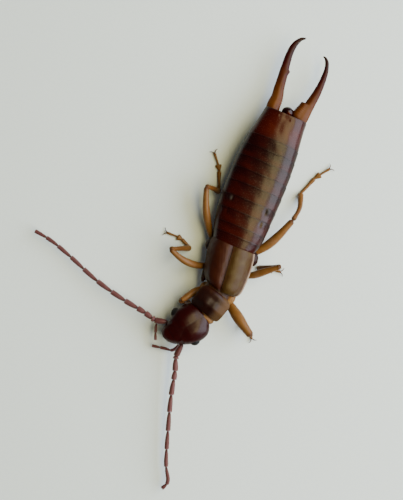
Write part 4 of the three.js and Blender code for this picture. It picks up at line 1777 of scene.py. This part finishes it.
@dataclass(frozen=True)
class Lamp:
    """A flat lamp that faces the animal.

    azimuth is degrees round from the right of the picture towards its top, height degrees above the
    floor, away a distance and size a width and a height in millimetres, and power the radiance of
    its face.
    """

    name: str
    azimuth: float
    height: float
    away: float
    size: Pair
    power: float
    colour: Colour

    def build(self, centre: Pair, turn: float) -> None:
        """Adds the lamp.

        Args:
            centre: X and Y of what it faces.
            turn: The picture's turn about the vertical.
        """
        light = bpy.data.lights.new(self.name, "AREA")
        light.shape = "RECTANGLE"
        light.size, light.size_y = self.size[0] * MM, self.size[1] * MM
        light.energy = self.power * math.pi * light.size * light.size_y
        light.color = self.colour
        lamp = bpy.data.objects.new(self.name, light)
        around = math.radians(self.azimuth) + turn
        high = math.radians(self.height)
        flat = math.cos(high)
        way = np.array([math.cos(around) * flat, math.sin(around) * flat, math.sin(high)])
        lamp.location = (np.array([*centre, 1.0]) - ORIGIN + way * self.away) * MM
        lamp.rotation_euler = (math.pi / 2 - high, 0.0, around + math.pi / 2)
        bpy.context.scene.collection.objects.link(lamp)


LAMPS = (
    Lamp("window", 0.0, 34.0, away=120.0, size=(170.0, 100.0), power=7.6, colour=(0.88, 0.92, 1.0)),
    Lamp("warm_card", 0.0, 70.0, away=130.0, size=(140.0, 40.0), power=8.0, colour=(1.0, 0.86, 0.42)),
)


@dataclass
class Studio:
    """The floor, the lights and a camera straight above, turned as the photograph is.

    view is the height of the picture at the animal's middle, lens the focal length and sensor the
    sensor's size, all in millimetres. floor_size is half the floor's side.
    """

    turn: float = math.radians(23.0)
    centre: Pair = (-1.519, -1.84)
    view: float = 27.5
    lens: float = 100.0
    sensor: float = 36.0
    floor_size: float = 400.0

    def floor(self) -> None:
        """A plain pale floor with a faint tooth."""
        size = self.floor_size
        corners = np.array([[-size, -size, 0], [size, -size, 0], [size, size, 0], [-size, size, 0]]) * MM
        mesh = bpy.data.meshes.new("floor")
        mesh.from_pydata(corners.tolist(), [], [(0, 1, 2, 3)])
        shader = Shader("pale_floor")
        where = shader.place()
        tooth = shader.noise(where, 6.0, 4.0)
        colour = shader.blend(tooth, rgb(226, 239, 240), rgb(234, 246, 247))
        slope = shader.bump(tooth, 0.004, 0.5)
        mesh.materials.append(shader.surface({"Base Color": colour, "Roughness": 0.75, "Normal": slope}))
        floor = bpy.data.objects.new("floor", mesh)
        bpy.context.scene.collection.objects.link(floor)

    def camera(self) -> None:
        """A camera straight above, whose long side takes in the view's height at the body's level."""
        data = bpy.data.cameras.new("camera")
        data.lens = self.lens
        data.sensor_width = self.sensor
        data.clip_start = 0.001
        camera = bpy.data.objects.new("camera", data)
        away = self.view * self.lens / self.sensor + 0.9
        camera.location = (np.array([*self.centre, away]) - ORIGIN) * MM
        camera.rotation_euler = (0.0, 0.0, self.turn)
        bpy.context.scene.collection.objects.link(camera)
        bpy.context.scene.camera = camera

    def sky(self) -> None:
        """An even pale surrounding."""
        world = bpy.data.worlds.new("pale")
        world.use_nodes = True
        inputs = world.node_tree.nodes["Background"].inputs
        inputs["Color"].default_value = (0.86, 0.93, 1.0, 1.0)
        inputs["Strength"].default_value = 0.08
        bpy.context.scene.world = world

    def build(self) -> None:
        """Sets up the whole studio."""
        self.floor()
        self.sky()
        for lamp in LAMPS:
            lamp.build(self.centre, self.turn)
        self.camera()


def main() -> None:
    """Builds every part of the animal in order, then the studio."""
    logging.basicConfig(level=logging.INFO, format="%(name)s %(message)s")
    Abdomen().build()
    for arm in ARMS:
        arm.build()
    Head().build()
    Thorax().build()
    for feeler in FEELERS:
        feeler.build()
    for leg in LEGS:
        leg.build()
    Studio().build()


if __name__ == "__main__":
    main()
